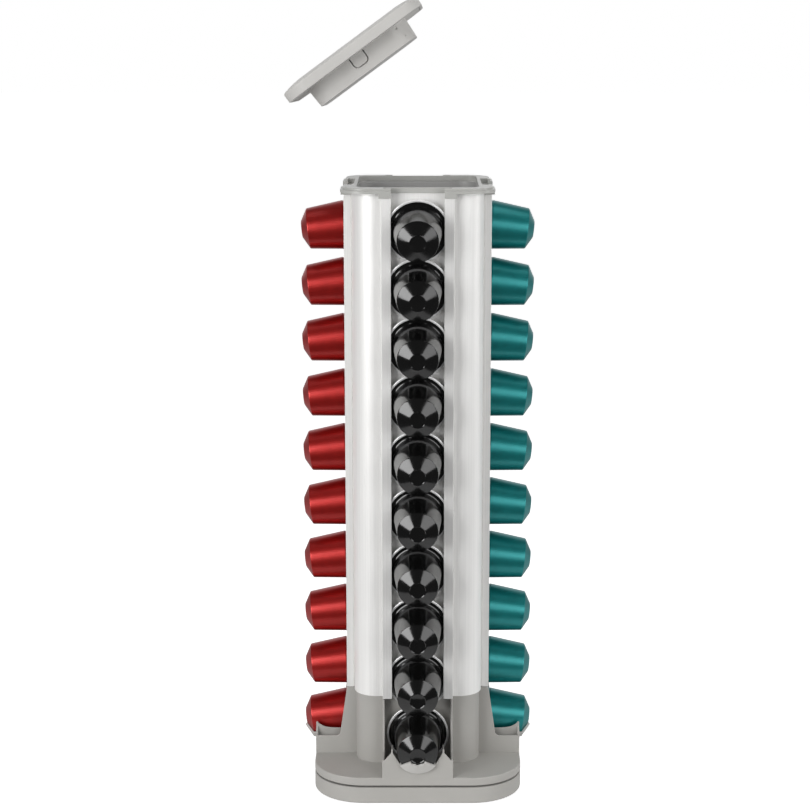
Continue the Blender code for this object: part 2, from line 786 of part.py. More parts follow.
def compartment_floor(surface):
    """A tray turned upside down over the pivot screw, standing on the deck."""
    half = BOX_INNER_HALF - GAP
    corner = half - CORNER_CENTRE
    lofted(
        "compartment_floor",
        squares(
            [
                (half - FLOOR_WALL, corner - FLOOR_WALL, FLOOR_HEIGHT - FLOOR_WALL),
                (half - FLOOR_WALL, corner - FLOOR_WALL, DECK_TOP + GAP),
                (half, corner, DECK_TOP + GAP),
                (half, corner, FLOOR_HEIGHT),
            ]
        ),
        True,
        surface,
    )


def rail_outline():
    """Section of one corner rail: a quarter-round column between two hooked flanges."""
    centre = (CORNER_CENTRE, CORNER_CENTRE)
    outer = CORNER_CENTRE + COLUMN_RADIUS
    inner_radius = COLUMN_RADIUS - RAIL_WALL
    inner = CORNER_CENTRE + inner_radius
    return [
        (FLANGE_INNER, FLANGE_TIP),
        (FLANGE_PLANE, FLANGE_TIP),
        (FLANGE_PLANE, LEG_OUTER),
        (outer, LEG_OUTER),
        *arc(centre, COLUMN_RADIUS, 0, pi / 2, CORNER_STEPS),
        (LEG_OUTER, outer),
        (LEG_OUTER, FLANGE_PLANE),
        (FLANGE_TIP, FLANGE_PLANE),
        (FLANGE_TIP, FLANGE_INNER),
        (LEG_INNER, FLANGE_INNER),
        (LEG_INNER, inner),
        *arc(centre, inner_radius, pi / 2, 0, CORNER_STEPS),
        (inner, LEG_INNER),
        (FLANGE_INNER, LEG_INNER),
    ]


def corner_rails(surface):
    for side in SIDES:
        rail = prism(f"corner_rail_{side + 1}", rail_outline(), RAIL_BOTTOM, RAIL_TOP, surface)
        rail.rotation_euler[2] = side * pi / 2


def top_collar(surface):
    """A stepped frame over the rails, open over the tube and at each channel."""
    low = RAIL_TOP + GAP
    step = low + COLLAR_LOWER_PLATE
    upper_corner = COLLAR_CORNER - (COLLAR_LOWER_HALF - COLLAR_UPPER_HALF)
    collar = lofted(
        "top_collar",
        squares(
            [
                (COLLAR_LOWER_HALF, COLLAR_CORNER, low),
                (COLLAR_LOWER_HALF, COLLAR_CORNER, step),
                (COLLAR_UPPER_HALF, upper_corner, step),
                (COLLAR_UPPER_HALF, upper_corner, COLLAR_TOP),
            ]
        ),
        True,
        surface,
    )
    hook_top = low + OVERRUN
    hook_low = RAIL_TOP - COLLAR_SOCKET_DEPTH
    hooks = []
    for turn in (-1, 1):
        tip = turn * FLANGE_TIP
        inner = turn * (LEG_OUTER + GAP)
        outer = turn * (LEG_OUTER + GAP + COLLAR_SOCKET_WALL)
        face = -(FLANGE_PLANE + GAP)
        column = -(CORNER_CENTRE + COLUMN_RADIUS + GAP)
        hooks.append(
            box(f"hook_front_{turn}", (min(tip, outer), -COLLAR_LOWER_HALF, hook_low),
                (max(tip, outer), face, hook_top))
        )
        hooks.append(
            box(f"hook_side_{turn}", (min(inner, outer), -COLLAR_LOWER_HALF, hook_low),
                (max(inner, outer), column, hook_top))
        )
    combine(collar, around(hooks), "UNION")
    opening = prism(
        "opening", rounded_square(COLLAR_OPENING_HALF, COLLAR_OPENING_CORNER),
        low - OVERRUN, COLLAR_TOP + OVERRUN,
    )
    bar = -(COLLAR_OPENING_HALF + COLLAR_BAR)
    beyond = -(COLLAR_LOWER_HALF + OVERRUN)
    slot = box("rim_slot", (-LEG_INNER, -FLANGE_INNER, low - OVERRUN),
               (LEG_INNER, bar, COLLAR_TOP + OVERRUN))
    mouth = box("slot_mouth", (-FLANGE_TIP, beyond, hook_low - OVERRUN),
                (FLANGE_TIP, OVERRUN - FLANGE_INNER, COLLAR_TOP + OVERRUN))
    combine(collar, [opening, *around([slot, mouth])], "DIFFERENCE")


# Lid


def lid_pivot():
    """The empty on the axis that the lid is lifted about, turned to the lifted pose."""
    pivot = bpy.data.objects.new("lid_pivot", None)
    axis = Vector((-sin(LID_AXIS_YAW), -cos(LID_AXIS_YAW), 0))
    place = Matrix.Translation((-LID_PIVOT_LEFT, 0, SEAT - LID_PIVOT_DOWN))
    pivot.matrix_world = place @ Matrix.Rotation(LID_LIFT, 4, axis)
    bpy.context.scene.collection.objects.link(pivot)
    return pivot


def on_pivot(obj, pivot):
    obj.parent = pivot
    obj.location = (LID_PIVOT_LEFT, 0, LID_PIVOT_DOWN)


def lid_cover(surface, pivot):
    inner_half = LID_HALF - LID_WALL
    inner_corner = LID_CORNER - LID_WALL
    ceiling = LID_BAND + LID_CROWN - 2 * LID_WALL
    shares = [(0.9, 0.45), (0.7, 0.8), (0.4, 1.0)]
    crown = [
        (LID_HALF * share, LID_CORNER * share, LID_BAND + LID_CROWN * rise)
        for share, rise in shares
    ]
    cover = lofted(
        "lid_cover",
        squares(
            [
                (inner_half, inner_corner, ceiling),
                (inner_half, inner_corner, 0),
                (LID_HALF - LID_EDGE / 2, LID_CORNER - LID_EDGE / 2, 0),
                (LID_HALF, LID_CORNER, LID_EDGE / 2),
                (LID_HALF, LID_CORNER, LID_BAND - LID_EDGE),
                (LID_HALF - LID_EDGE, LID_CORNER - LID_EDGE, LID_BAND),
                *crown,
            ]
        ),
        True,
        surface,
    )
    on_pivot(cover, pivot)


def tongue_slot(face):
    """The U-shaped slot that frees a spring tongue in the front or back of the plug."""
    half = TONGUE_WIDTH / 2
    top = -GAP
    paths = []
    for inset in (0, TONGUE_SLOT):
        corner = TONGUE_CORNER - inset
        reach = half - TONGUE_CORNER
        low = TONGUE_CORNER - TONGUE_HEIGHT
        path = [(-reach - corner, top)]
        path += arc((-reach, low), corner, pi, 3 * pi / 2, CORNER_STEPS)
        path += arc((reach, low), corner, -pi / 2, 0, CORNER_STEPS)
        path.append((reach + corner, top))
        paths.append(path)
    near = face * (PLUG_HALF + OVERRUN)
    far = face * (PLUG_HALF - PLUG_WALL - PLUG_DRAFT - OVERRUN)
    return upright(f"tongue_slot_{face}", paths[0] + paths[1][::-1], min(near, far), max(near, far))


def lid_plug(surface, pivot):
    """The drafted tray under the cover that plugs the storage tube."""
    flange_half = LID_HALF - LID_WALL - GAP
    flange_corner = LID_CORNER - LID_WALL - GAP
    bottom_half = PLUG_HALF - PLUG_DRAFT
    bottom_corner = PLUG_CORNER - PLUG_DRAFT
    plug = lofted(
        "lid_plug",
        squares(
            [
                (bottom_half - PLUG_EDGE, bottom_corner - PLUG_EDGE, -PLUG_DEPTH),
                (bottom_half, bottom_corner, PLUG_EDGE - PLUG_DEPTH),
                (PLUG_HALF, PLUG_CORNER, 0),
                (flange_half, flange_corner, 0),
                (flange_half, flange_corner, PLUG_FLANGE),
                (PLUG_HALF - PLUG_WALL, PLUG_CORNER - PLUG_WALL, PLUG_FLANGE),
                (bottom_half - PLUG_WALL, bottom_corner - PLUG_WALL, PLUG_WALL - PLUG_DEPTH),
            ]
        ),
        True,
        surface,
    )
    on_pivot(plug, pivot)
    slots = [tongue_slot(face) for face in (-1, 1)]
    for slot in slots:
        on_pivot(slot, pivot)
    combine(plug, slots, "DIFFERENCE")


def build():
    clear_scene()
    grey = material("warm_grey_plastic", (0.50, 0.49, 0.46), 0.55)
    pale_grey = material("pale_grey_plastic", (0.56, 0.55, 0.53), 0.5)
    floor_grey = material("floor_plastic", (0.42, 0.42, 0.41), 0.6)
    collar_grey = material("collar_plastic", (0.48, 0.48, 0.46), 0.35)
    rubber = material("rubber", (0.03, 0.03, 0.03), 0.85)
    steel = material("steel", (0.55, 0.55, 0.56), 0.25, 1.0)
    nylon = material("nylon", (0.75, 0.74, 0.70), 0.5)
    aluminium = material("anodised_aluminium", (0.86, 0.86, 0.85), 0.38, 1.0)
    foot_tray(grey)
    rubber_feet(rubber)
    race("lower_race", LOWER_RACE_BOTTOM, LOWER_RACE_TOP, steel)
    race("upper_race", UPPER_RACE_TOP, UPPER_RACE_BOTTOM, steel)
    ball_cage(nylon)
    bearing_balls(steel)
    pivot_screw_and_washer(steel)
    base_moulding(grey)
    compartment_tube(aluminium)
    compartment_floor(floor_grey)
    corner_rails(aluminium)
    top_collar(collar_grey)
    pivot = lid_pivot()
    lid_cover(pale_grey, pivot)
    lid_plug(pale_grey, pivot)
    capsule_column("front", 0, material("black_foil", (0.01, 0.01, 0.011), 0.2, 1.0))
    capsule_column("right", 1, material("teal_foil", (0.01, 0.22, 0.22), 0.3, 1.0))
    capsule_column("left", 3, material("red_foil", (0.35, 0.015, 0.02), 0.3, 1.0))


build()
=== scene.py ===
"""Looks of a coffee capsule dispenser: a four-column tower on a turntable, its lid lifted off.

Each visible piece is modelled at the size and place of the solid that it stands for.
Metres, +Z up. The dispenser stands on Z = 0, and -Y is its front.
"""

from contextlib import contextmanager
from math import atan2, cos, pi, radians, sin

import bmesh
import bpy
from mathutils import Matrix, Vector


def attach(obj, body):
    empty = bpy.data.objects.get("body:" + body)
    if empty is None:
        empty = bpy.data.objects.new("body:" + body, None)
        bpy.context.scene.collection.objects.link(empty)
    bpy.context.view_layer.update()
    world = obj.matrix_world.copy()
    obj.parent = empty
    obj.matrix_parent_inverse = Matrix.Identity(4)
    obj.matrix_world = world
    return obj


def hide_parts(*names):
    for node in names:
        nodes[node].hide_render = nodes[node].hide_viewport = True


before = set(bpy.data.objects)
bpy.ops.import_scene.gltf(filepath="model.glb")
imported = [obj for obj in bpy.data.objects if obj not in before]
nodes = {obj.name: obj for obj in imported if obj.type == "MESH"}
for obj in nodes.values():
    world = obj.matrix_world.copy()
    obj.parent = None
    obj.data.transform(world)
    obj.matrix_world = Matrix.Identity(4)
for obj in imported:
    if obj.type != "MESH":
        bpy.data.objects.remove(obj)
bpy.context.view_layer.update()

# Capsule, measured from the middle of its rim
RIM_RADIUS = 0.0185
RIM_THICKNESS = 0.0010
BODY_ROOT_RADIUS = 0.01475
SHOULDER_RADIUS = 0.0119
SHOULDER_AT = 0.0250
NOSE_RADIUS = 0.0050
NOSE_AT = 0.0289
CAPSULE_TILT = radians(6.3)
CAPSULE_PITCH = 0.0334
CAPSULES_PER_COLUMN = 10
LOWEST_RIM_HEIGHT = 0.0360
LOWEST_SLIDE_OUT = 0.0004
CAPSULE_STEPS = 72
CAPSULE_CREASE = radians(24)

# Fine steps of the capsule's profile, (outwards, along) from the radii and places above.
# FOIL_SINK and the second numbers of FOIL_LIP, RIM_DISH and NECK are shares of half the
# rim's thickness. The first numbers of NOSE_DIMPLE are radii. BARE_EDGE is how far in from
# its edge the rim has no lacquer.
FOIL_SINK = 0.4
FOIL_LIP = (0.0012, 0.9)
RIM_DISH = ((-0.0008, 0.75), (-0.0013, 0.3))
NECK = ((0.0006, 0.3), (0.0001, 0.9))
NECK_TOP = (-0.0001, 0.0010)
GROOVE_AT = (0.0026, 0.0029, 0.0033, 0.0037)
GROOVE_SINK = 0.0003
BODY_MIDDLE = 0.0140
SHOULDER_BEND = ((0.00005, -0.0005), (-0.0001, -0.00005), (-0.0006, 0.0003))
NOSE_BEND = ((0.0002, -0.00015), (-0.0002, 0), (-0.0006, -0.0003))
NOSE_DIMPLE = ((0.0024, -0.0007), (0, -0.0008))
BARE_EDGE = RIM_THICKNESS * 1.15
ROLL_STEPS = 8

# Tower
GAP = 0.0003
TUBE_HALF = 0.0364
TUBE_WALL = 0.0014
CORNER_CENTRE = 0.0240
RAIL_WALL = 0.0013
COLUMN_RADIUS = 0.0140
LEG_INNER = 0.0194
LEG_OUTER = 0.0208
FLANGE_PLANE = 0.0427
FLANGE_INNER = 0.0414
FLANGE_TIP = 0.01525
RAIL_BOTTOM = 0.05865
RAIL_TOP = 0.3583
RAIL_EDGE = 0.0002
GROOVE_WIDTH = 0.0007
GROOVE_DEPTH = 0.0008
RIM_PLACE = TUBE_HALF + GAP + RIM_RADIUS * sin(CAPSULE_TILT) + RIM_THICKNESS / 2

# Foot and base moulding
FOOT_HALF = 0.0618
FOOT_CORNER = 0.0300
FOOT_RISE = 0.0006
FOOT_TOP = 0.0106
FOOT_EDGE = 0.0012
FOOT_WALL = 0.0020
FOOT_PAD_RADIUS = 0.0160
DECK_BOTTOM = 0.0116
DECK_TOP = 0.0166
DECK_EDGE = 0.0007
DECK_HOLLOW = 0.0142
POST_RADIUS = 0.0060
POST_BORE = 0.0063
SCREW_BORE = 0.0019
SCREW_BOTTOM = 0.0063
LOCATOR = (0.0357, 0.0372, 0.0054)
RACE_SEAT = (0.0357, 0.0372, 0.0465)
SEAT_FACE = 0.0124
SEAT_LIP = 0.0096
PAD_PLACE = 0.0420
PAD_POCKET = 0.0063
PAD_POCKET_TOP = 0.0018
BOX_TOP = 0.0660
BOX_INNER_HALF = 0.0336
SPIGOT_TOP = 0.0720
POST_COLUMN_RADIUS = 0.0130
CHUTE_CUT_HEIGHT = 0.0274
CHUTE_CUT_NEAR = 0.0469
CHUTE_CUT_ROUND = 0.0026
END_WALL = 0.0013
END_WALL_PROUD = 0.0001
END_WALL_EDGE = 0.00048
FENCE_INNER = 0.0145
FENCE_OUTER = 0.0156
FENCE_NEAR = 0.0435
FENCE_TOP = 0.0304
FENCE_SHOULDER = 0.0320
FENCE_PEAK = 0.0343
FENCE_CURVE = 5
FENCE_STEPS = 12
LIP_CLEARANCE = 0.0004
LIP_ROOT = END_WALL * 3 / 4
LIP_WALL = 0.0012
LIP_HALF_ANGLE = radians(52)
LIP_SCALLOP = 0.0007
LIP_SCALLOPS = 3
LIP_STEPS = 24
MOULD_EDGE = 0.0006

# Top collar
COLLAR_LOW = 0.3584
COLLAR_STEP = 0.3601
COLLAR_TOP = 0.3614
COLLAR_LOWER_HALF = 0.0443
COLLAR_UPPER_HALF = 0.0428
COLLAR_CORNER = 0.0150
COLLAR_OPENING_HALF = 0.0350
COLLAR_OPENING_CORNER = 0.0060
COLLAR_BAR = 0.0019
COLLAR_HOOK_LOW = 0.3559
COLLAR_HOOK_WALL = 0.0011
COLLAR_HOOK_EDGE = 0.0002
COLLAR_STEP_EDGE = 0.0003
COLLAR_TOP_EDGE = 0.0004

# Lid, measured from the middle of its seat
LID_HALF = 0.04625
LID_CORNER = 0.0150
LID_BAND = 0.0060
LID_CROWN_STEPS = ((0.0040, 0.0009), (0.0040, 0.0006), (0.0040, 0.0003))
LID_EDGE = 0.0009
LID_WALL = 0.0020
PLUG_HALF = 0.0341
PLUG_CORNER = 0.0120
PLUG_DEPTH = 0.0120
PLUG_DRAFT = 0.0007
PLUG_WALL = 0.0018
PLUG_EDGE = 0.0003
PLUG_FLANGE = 0.0015
TONGUE_WIDTH = 0.0100
TONGUE_HEIGHT = 0.0076
TONGUE_CORNER = 0.0030
TONGUE_SLOT = 0.0007
TONGUE_SLOT_DEPTH = PLUG_WALL * 3 / 4
DIMPLES = ((0.0269, -0.0321, -0.0021), (0.0289, -0.0309, -0.0083))
DIMPLE_RADIUS = 0.0006
DIMPLE_DEPTH = 0.0030
LID_SEAT = 0.3617
LID_PIVOT = (-0.1284, 0.0, 0.3453)
LID_AXIS = (-sin(radians(4)), -cos(radians(4)), 0.0)
LID_LIFT = radians(36.3)

# Modelling: how far joined and cutting pieces run past each other, how close two points
# are to be one, how sharp an edge is to stay one, and how squarely a face looks one way
OVERRUN = 0.0006
MERGE = 0.00001
CREASE = radians(35)
FACING = 0.9

# Steps of round outlines, corners and turned pieces
COLUMN_STEPS = 24
COLUMN_INSIDE_STEPS = 12
SLAB_CORNER_STEPS = 24
LID_CORNER_STEPS = 20
SMALL_CORNER_STEPS = 10
NOSE_CUT_STEPS = 30
RING_STEPS = 96
PEG_STEPS = 48
SCREW_STEPS = 24
DIMPLE_STEPS = 16

# Quarter turns from the front: all four sides, and the three beside it
SIDES = range(4)
OTHER_SIDES = (1, 2, 3)


# Modelling steps


def only(obj):
    """Makes one object the selected and active one."""
    bpy.ops.object.select_all(action="DESELECT")
    obj.select_set(True)
    bpy.context.view_layer.objects.active = obj


@contextmanager
def editing(obj):
    """Opens one object in edit mode for the lines inside."""
    only(obj)
    bpy.ops.object.mode_set(mode="EDIT")
    bpy.ops.mesh.select_mode(type="VERT")
    yield
    bpy.ops.object.mode_set(mode="OBJECT")


def pick(kind, passes):
    """Selects the verts, edges or faces in edit mode that pass a test, and nothing else."""
    mesh = bpy.context.object.data
    bpy.ops.mesh.select_all(action="DESELECT")
    bpy.ops.mesh.select_mode(type=kind[:-1].upper())
    shape = bmesh.from_edit_mesh(mesh)
    for element in getattr(shape, kind):
        element.select_set(bool(passes(element)))
    shape.select_flush_mode()
    bmesh.update_edit_mesh(mesh)


def turned_to(obj, matrix):
    """Puts an object's mesh where the matrix says and leaves the object at the origin."""
    only(obj)
    obj.matrix_world = matrix
    bpy.ops.object.transform_apply(location=True, rotation=True, scale=True)
    return obj


def block(name, low, high):
    """A cube added at its size and place."""
    bpy.ops.object.select_all(action="DESELECT")
    bpy.ops.mesh.primitive_cube_add(
        size=1,
        location=[(a + b) / 2 for a, b in zip(low, high)],
        scale=[b - a for a, b in zip(low, high)],
    )
    bpy.ops.object.transform_apply(location=True, rotation=True, scale=True)
    obj = bpy.context.object
    obj.name = name
    return obj


def is_upright(edge):
    a, b = (vert.co for vert in edge.verts)
    return abs(a.z - b.z) > OVERRUN and (a.xy - b.xy).length < MERGE


def rounded_block(name, half, corner, low, high, steps=16):
    """A square slab with its four upright edges rounded."""
    obj = block(name, (-half, -half, low), (half, half, high))
    with editing(obj):
        pick("edges", is_upright)
        bpy.ops.mesh.bevel(offset=corner, segments=steps, affect="EDGES")
    return obj


def soften_level(obj, height, width, steps=3):
    """Rounds the outline that lies at one height."""
    with editing(obj):
        pick("edges", lambda e: all(abs(v.co.z - height) < MERGE for v in e.verts))
        bpy.ops.mesh.bevel(offset=width, segments=steps, affect="EDGES")


def arc(centre, radius, start, end, steps):
    """Points of an arc from one angle to another, both ends included."""
    angles = [start + (end - start) * i / steps for i in range(steps + 1)]
    return [(centre[0] + radius * cos(a), centre[1] + radius * sin(a)) for a in angles]


def traced(name, points, place):
    """A line drawn by extruding one vertex from point to point. place(a, b) puts a flat
    point in space."""
    path = [Vector(place(a, b)) for a, b in points]
    bpy.ops.object.select_all(action="DESELECT")
    bpy.ops.mesh.primitive_plane_add(size=OVERRUN, location=path[0])
    obj = bpy.context.object
    obj.name = name
    bpy.ops.object.transform_apply(location=True, rotation=True, scale=True)
    with editing(obj):
        bpy.ops.mesh.select_all(action="SELECT")
        bpy.ops.mesh.merge(type="CENTER")
        for near, far in zip(path, path[1:]):
            bpy.ops.mesh.extrude_vertices_move(TRANSFORM_OT_translate={"value": far - near})
    return obj


def plate(name, points, place, depth):
    """A flat outline filled and pulled out into a plate."""
    obj = traced(name, points, place)
    with editing(obj):
        bpy.ops.mesh.select_all(action="SELECT")
        bpy.ops.mesh.edge_face_add()
        bpy.ops.mesh.select_all(action="SELECT")
        bpy.ops.mesh.extrude_region_move(TRANSFORM_OT_translate={"value": depth})
        bpy.ops.mesh.select_all(action="SELECT")
        bpy.ops.mesh.normals_make_consistent(inside=False)
    return obj


def cylinder(radius, low, high):
    """The profile of a plain round peg."""
    return [(0, high), (radius, high), (radius, low), (0, low)]


def spun(name, profile, steps):
    """A profile (radius, height) turned about Z."""
    obj = traced(name, profile, lambda r, z: (r, 0, z))
    with editing(obj):
        bpy.ops.mesh.select_all(action="SELECT")
        bpy.ops.mesh.spin(steps=steps, angle=2 * pi, center=(0, 0, 0), axis=(0, 0, 1))
        bpy.ops.mesh.select_all(action="SELECT")
        bpy.ops.mesh.remove_doubles(threshold=MERGE)
        bpy.ops.mesh.select_all(action="SELECT")
        bpy.ops.mesh.normals_make_consistent(inside=False)
    return obj


def apply_modifier(obj, kind, **settings):
    """Adds a modifier and applies it at once."""
    only(obj)
    modifier = obj.modifiers.new(kind.title(), kind)
    for setting, value in settings.items():
        setattr(modifier, setting, value)
    bpy.ops.object.modifier_apply(modifier=modifier.name)
    return obj


def edges_softened(obj, width, steps=2, angle=CREASE):
    return apply_modifier(
        obj, "BEVEL", width=width, segments=steps, limit_method="ANGLE", angle_limit=angle
    )


def joined(obj, others, operation):
    """Joins or cuts with other pieces, which are used up."""
    group = bpy.data.collections.new(operation.lower())
    for other in others:
        group.objects.link(other)
    apply_modifier(
        obj, "BOOLEAN", operation=operation, operand_type="COLLECTION", collection=group,
        solver="EXACT",
    )
    for other in others:
        bpy.data.objects.remove(other)
    bpy.data.collections.remove(group)
    return obj


def duplicate(obj, name):
    only(obj)
    bpy.ops.object.duplicate(linked=False)
    copy = bpy.context.object
    copy.name = name
    return copy


def on_sides(obj, sides, name="{}_{}"):
    """Copies of a front piece, turned to other sides of the tower."""
    copies = []
    for side in sides:
        copy = duplicate(obj, name.format(obj.name, side + 1))
        copies.append(turned_to(copy, Matrix.Rotation(side * pi / 2, 4, "Z")))
    return copies


def smoothed(obj, angle=CREASE):
    """Shades an object smooth up to an angle, with its flat faces kept flat."""
    only(obj)
    bpy.ops.object.shade_smooth_by_angle(angle=angle)
    return apply_modifier(obj, "WEIGHTED_NORMAL", keep_sharp=True)


# Finishes


RAMP_ENDS = (0.35, 0.65)
COAT_WEIGHT = 0.6
COAT_ROUGHNESS = 0.28


def finish_of(name, colour, roughness, metallic=0.0, specular=None, ior=None):
    """A named material and its shader, with a plain colour to start from."""
    made = bpy.data.materials.new(name)
    made.use_nodes = True
    shader = made.node_tree.nodes["Principled BSDF"]
    shader.inputs["Base Color"].default_value = (*colour, 1)
    shader.inputs["Roughness"].default_value = roughness
    shader.inputs["Metallic"].default_value = metallic
    if specular is not None:
        shader.inputs["Specular IOR Level"].default_value = specular
    if ior is not None:
        shader.inputs["IOR"].default_value = ior
    return made, shader


def node(material, kind, **settings):
    made = material.node_tree.nodes.new(kind)
    for setting, value in settings.items():
        setattr(made, setting, value)
    return made


def noise_over(material, scale, detail, stretch=(1, 1, 1)):
    """Noise on the piece's own coordinates, stretched along an axis if asked."""
    link = material.node_tree.links.new
    where = node(material, "ShaderNodeTexCoord")
    mapping = node(material, "ShaderNodeMapping")
    mapping.inputs["Scale"].default_value = stretch
    noise = node(material, "ShaderNodeTexNoise")
    noise.inputs["Scale"].default_value = scale
    noise.inputs["Detail"].default_value = detail
    link(where.outputs["Object"], mapping.inputs["Vector"])
    link(mapping.outputs["Vector"], noise.inputs["Vector"])
    return noise.outputs["Fac"]


def vary_roughness(material, shader, fac, low, high):
    spread = node(material, "ShaderNodeMapRange")
    spread.inputs["To Min"].default_value = low
    spread.inputs["To Max"].default_value = high
    link = material.node_tree.links.new
    link(fac, spread.inputs["Value"])
    link(spread.outputs["Result"], shader.inputs["Roughness"])


def vary_colour(material, shader, fac, dark, light):
    ramp = node(material, "ShaderNodeValToRGB")
    for element, position, colour in zip(ramp.color_ramp.elements, RAMP_ENDS, (dark, light)):
        element.position = position
        element.color = (*colour, 1)
    link = material.node_tree.links.new
    link(fac, ramp.inputs["Fac"])
    link(ramp.outputs["Color"], shader.inputs["Base Color"])


def roughen(material, shader, fac, strength, distance):
    bump = node(material, "ShaderNodeBump")
    bump.inputs["Strength"].default_value = strength
    bump.inputs["Distance"].default_value = distance
    link = material.node_tree.links.new
    link(fac, bump.inputs["Height"])
    link(bump.outputs["Normal"], shader.inputs["Normal"])


def shaded(colour, share):
    return tuple(channel * share for channel in colour)


def moulded_plastic(name, colour, roughness):
    """Injection-moulded plastic with a fine spark-eroded grain."""
    material, shader = finish_of(name, colour, roughness, specular=0.4)
    cloud = noise_over(material, scale=35, detail=3)
    grain = noise_over(material, scale=2600, detail=2)
    vary_colour(material, shader, cloud, shaded(colour, 0.97), shaded(colour, 1.02))
    vary_roughness(material, shader, cloud, low=roughness - 0.04, high=roughness + 0.05)
    roughen(material, shader, grain, strength=0.16, distance=0.00008)
    return material


def anodised(name, colour, roughness):
    """Satin anodised aluminium with the fine draw lines of an extrusion."""
    material, shader = finish_of(name, colour, roughness, metallic=0.4)
    lines = noise_over(material, scale=1400, detail=3, stretch=(1, 1, 0.006))
    vary_colour(material, shader, lines, shaded(colour, 0.96), shaded(colour, 1.02))
    vary_roughness(material, shader, lines, low=roughness - 0.05, high=roughness + 0.06)
    roughen(material, shader, lines, strength=0.05, distance=0.00005)
    return material


def lacquered(name, colour, roughness, metallic, ior=1.5, edge=None):
    """Coloured lacquer over the drawn aluminium of a capsule. With an edge colour, it is
    tinted where the surface turns away and has a clear coat over it."""
    material, shader = finish_of(name, colour, roughness, metallic=metallic, ior=ior)
    if edge:
        shader.inputs["Specular Tint"].default_value = (*edge, 1)
        shader.inputs["Coat Weight"].default_value = COAT_WEIGHT
        shader.inputs["Coat Roughness"].default_value = COAT_ROUGHNESS
    drawn = noise_over(material, scale=260, detail=4)
    vary_colour(material, shader, drawn, shaded(colour, 0.95), shaded(colour, 1.04))
    vary_roughness(material, shader, drawn, low=roughness - 0.03, high=roughness + 0.04)
    return material


def plain_metal(name, colour, roughness, metallic=1.0):
    """Bare metal, a little unevenly worn."""
    material, shader = finish_of(name, colour, roughness, metallic=metallic)
    worn = noise_over(material, scale=180, detail=3)
    vary_roughness(material, shader, worn, low=roughness - 0.04, high=roughness + 0.06)
    return material


def rubber_pad(name, colour, roughness):
    """Matt rubber with a fine grain."""
    material, shader = finish_of(name, colour, roughness)
    grain = noise_over(material, scale=1500, detail=3)
    roughen(material, shader, grain, strength=0.3, distance=0.0001)
    return material


def coated(obj, *materials):
    """Gives an object its finishes in place of any it has."""
    obj.data.materials.clear()
    for material in materials:
        obj.data.materials.append(material)


PALE_GREY = (0.55, 0.54, 0.52)
warm_grey = moulded_plastic("warm_grey_moulding", (0.41, 0.40, 0.378), 0.44)
# The spout under each lowest nose: glossier, and painted paler than the base moulding as a painted
# highlight
lip_painted_highlight_grey = moulded_plastic("polished_lip_moulding", PALE_GREY, 0.32)
lid_grey = moulded_plastic("pale_grey_moulding", PALE_GREY, 0.48)
floor_grey = moulded_plastic("compartment_floor_moulding", (0.46, 0.46, 0.45), 0.55)
collar_grey = moulded_plastic("collar_moulding", (0.44, 0.44, 0.42), 0.3)
satin_aluminium = anodised("satin_anodised_aluminium", (0.93, 0.925, 0.91), 0.50)
# Inside of the storage tube: rougher, and painted darker as painted shade for its deep inside
painted_shade_aluminium = anodised("dull_aluminium_inside", (0.50, 0.497, 0.49), 0.60)
bearing_steel = plain_metal("bearing_steel", (0.56, 0.56, 0.57), 0.22)
cage_nylon = moulded_plastic("cage_nylon", (0.72, 0.71, 0.66), 0.45)
pad_rubber = rubber_pad("pad_rubber", (0.03, 0.03, 0.03), 0.8)
rim_aluminium = plain_metal("capsule_rim_aluminium", (0.97, 0.97, 0.97), 0.25, metallic=0.3)
black_lacquer = lacquered("black_lacquer", (0.004, 0.004, 0.004), 0.12, 0.0, ior=1.6)
teal_lacquer = lacquered(
    "teal_lacquer", (0.012, 0.25, 0.255), 0.35, 0.7, edge=(0.06, 0.30, 0.32)
)
red_lacquer = lacquered(
    "red_lacquer", (0.39, 0.012, 0.010), 0.35, 0.7, edge=(0.40, 0.08, 0.07)
)


def shown(obj, body, slot, replaced, *materials):
    """Hands a finished piece to the body that it moves with. A piece that comes without
    materials here keeps those that it has."""
    smoothed(obj)
    if materials:
        coated(obj, *materials)
    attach(obj, body)
    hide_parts(*replaced)
    return obj


# Capsules


def capsule_radius(along):
    """Radius of a capsule's body at a distance from the middle of its rim."""
    if along > SHOULDER_AT:
        share = (along - SHOULDER_AT) / (NOSE_AT - SHOULDER_AT)
        return SHOULDER_RADIUS + (NOSE_RADIUS - SHOULDER_RADIUS) * share
    share = along / SHOULDER_AT
    return BODY_ROOT_RADIUS + (SHOULDER_RADIUS - BODY_ROOT_RADIUS) * share


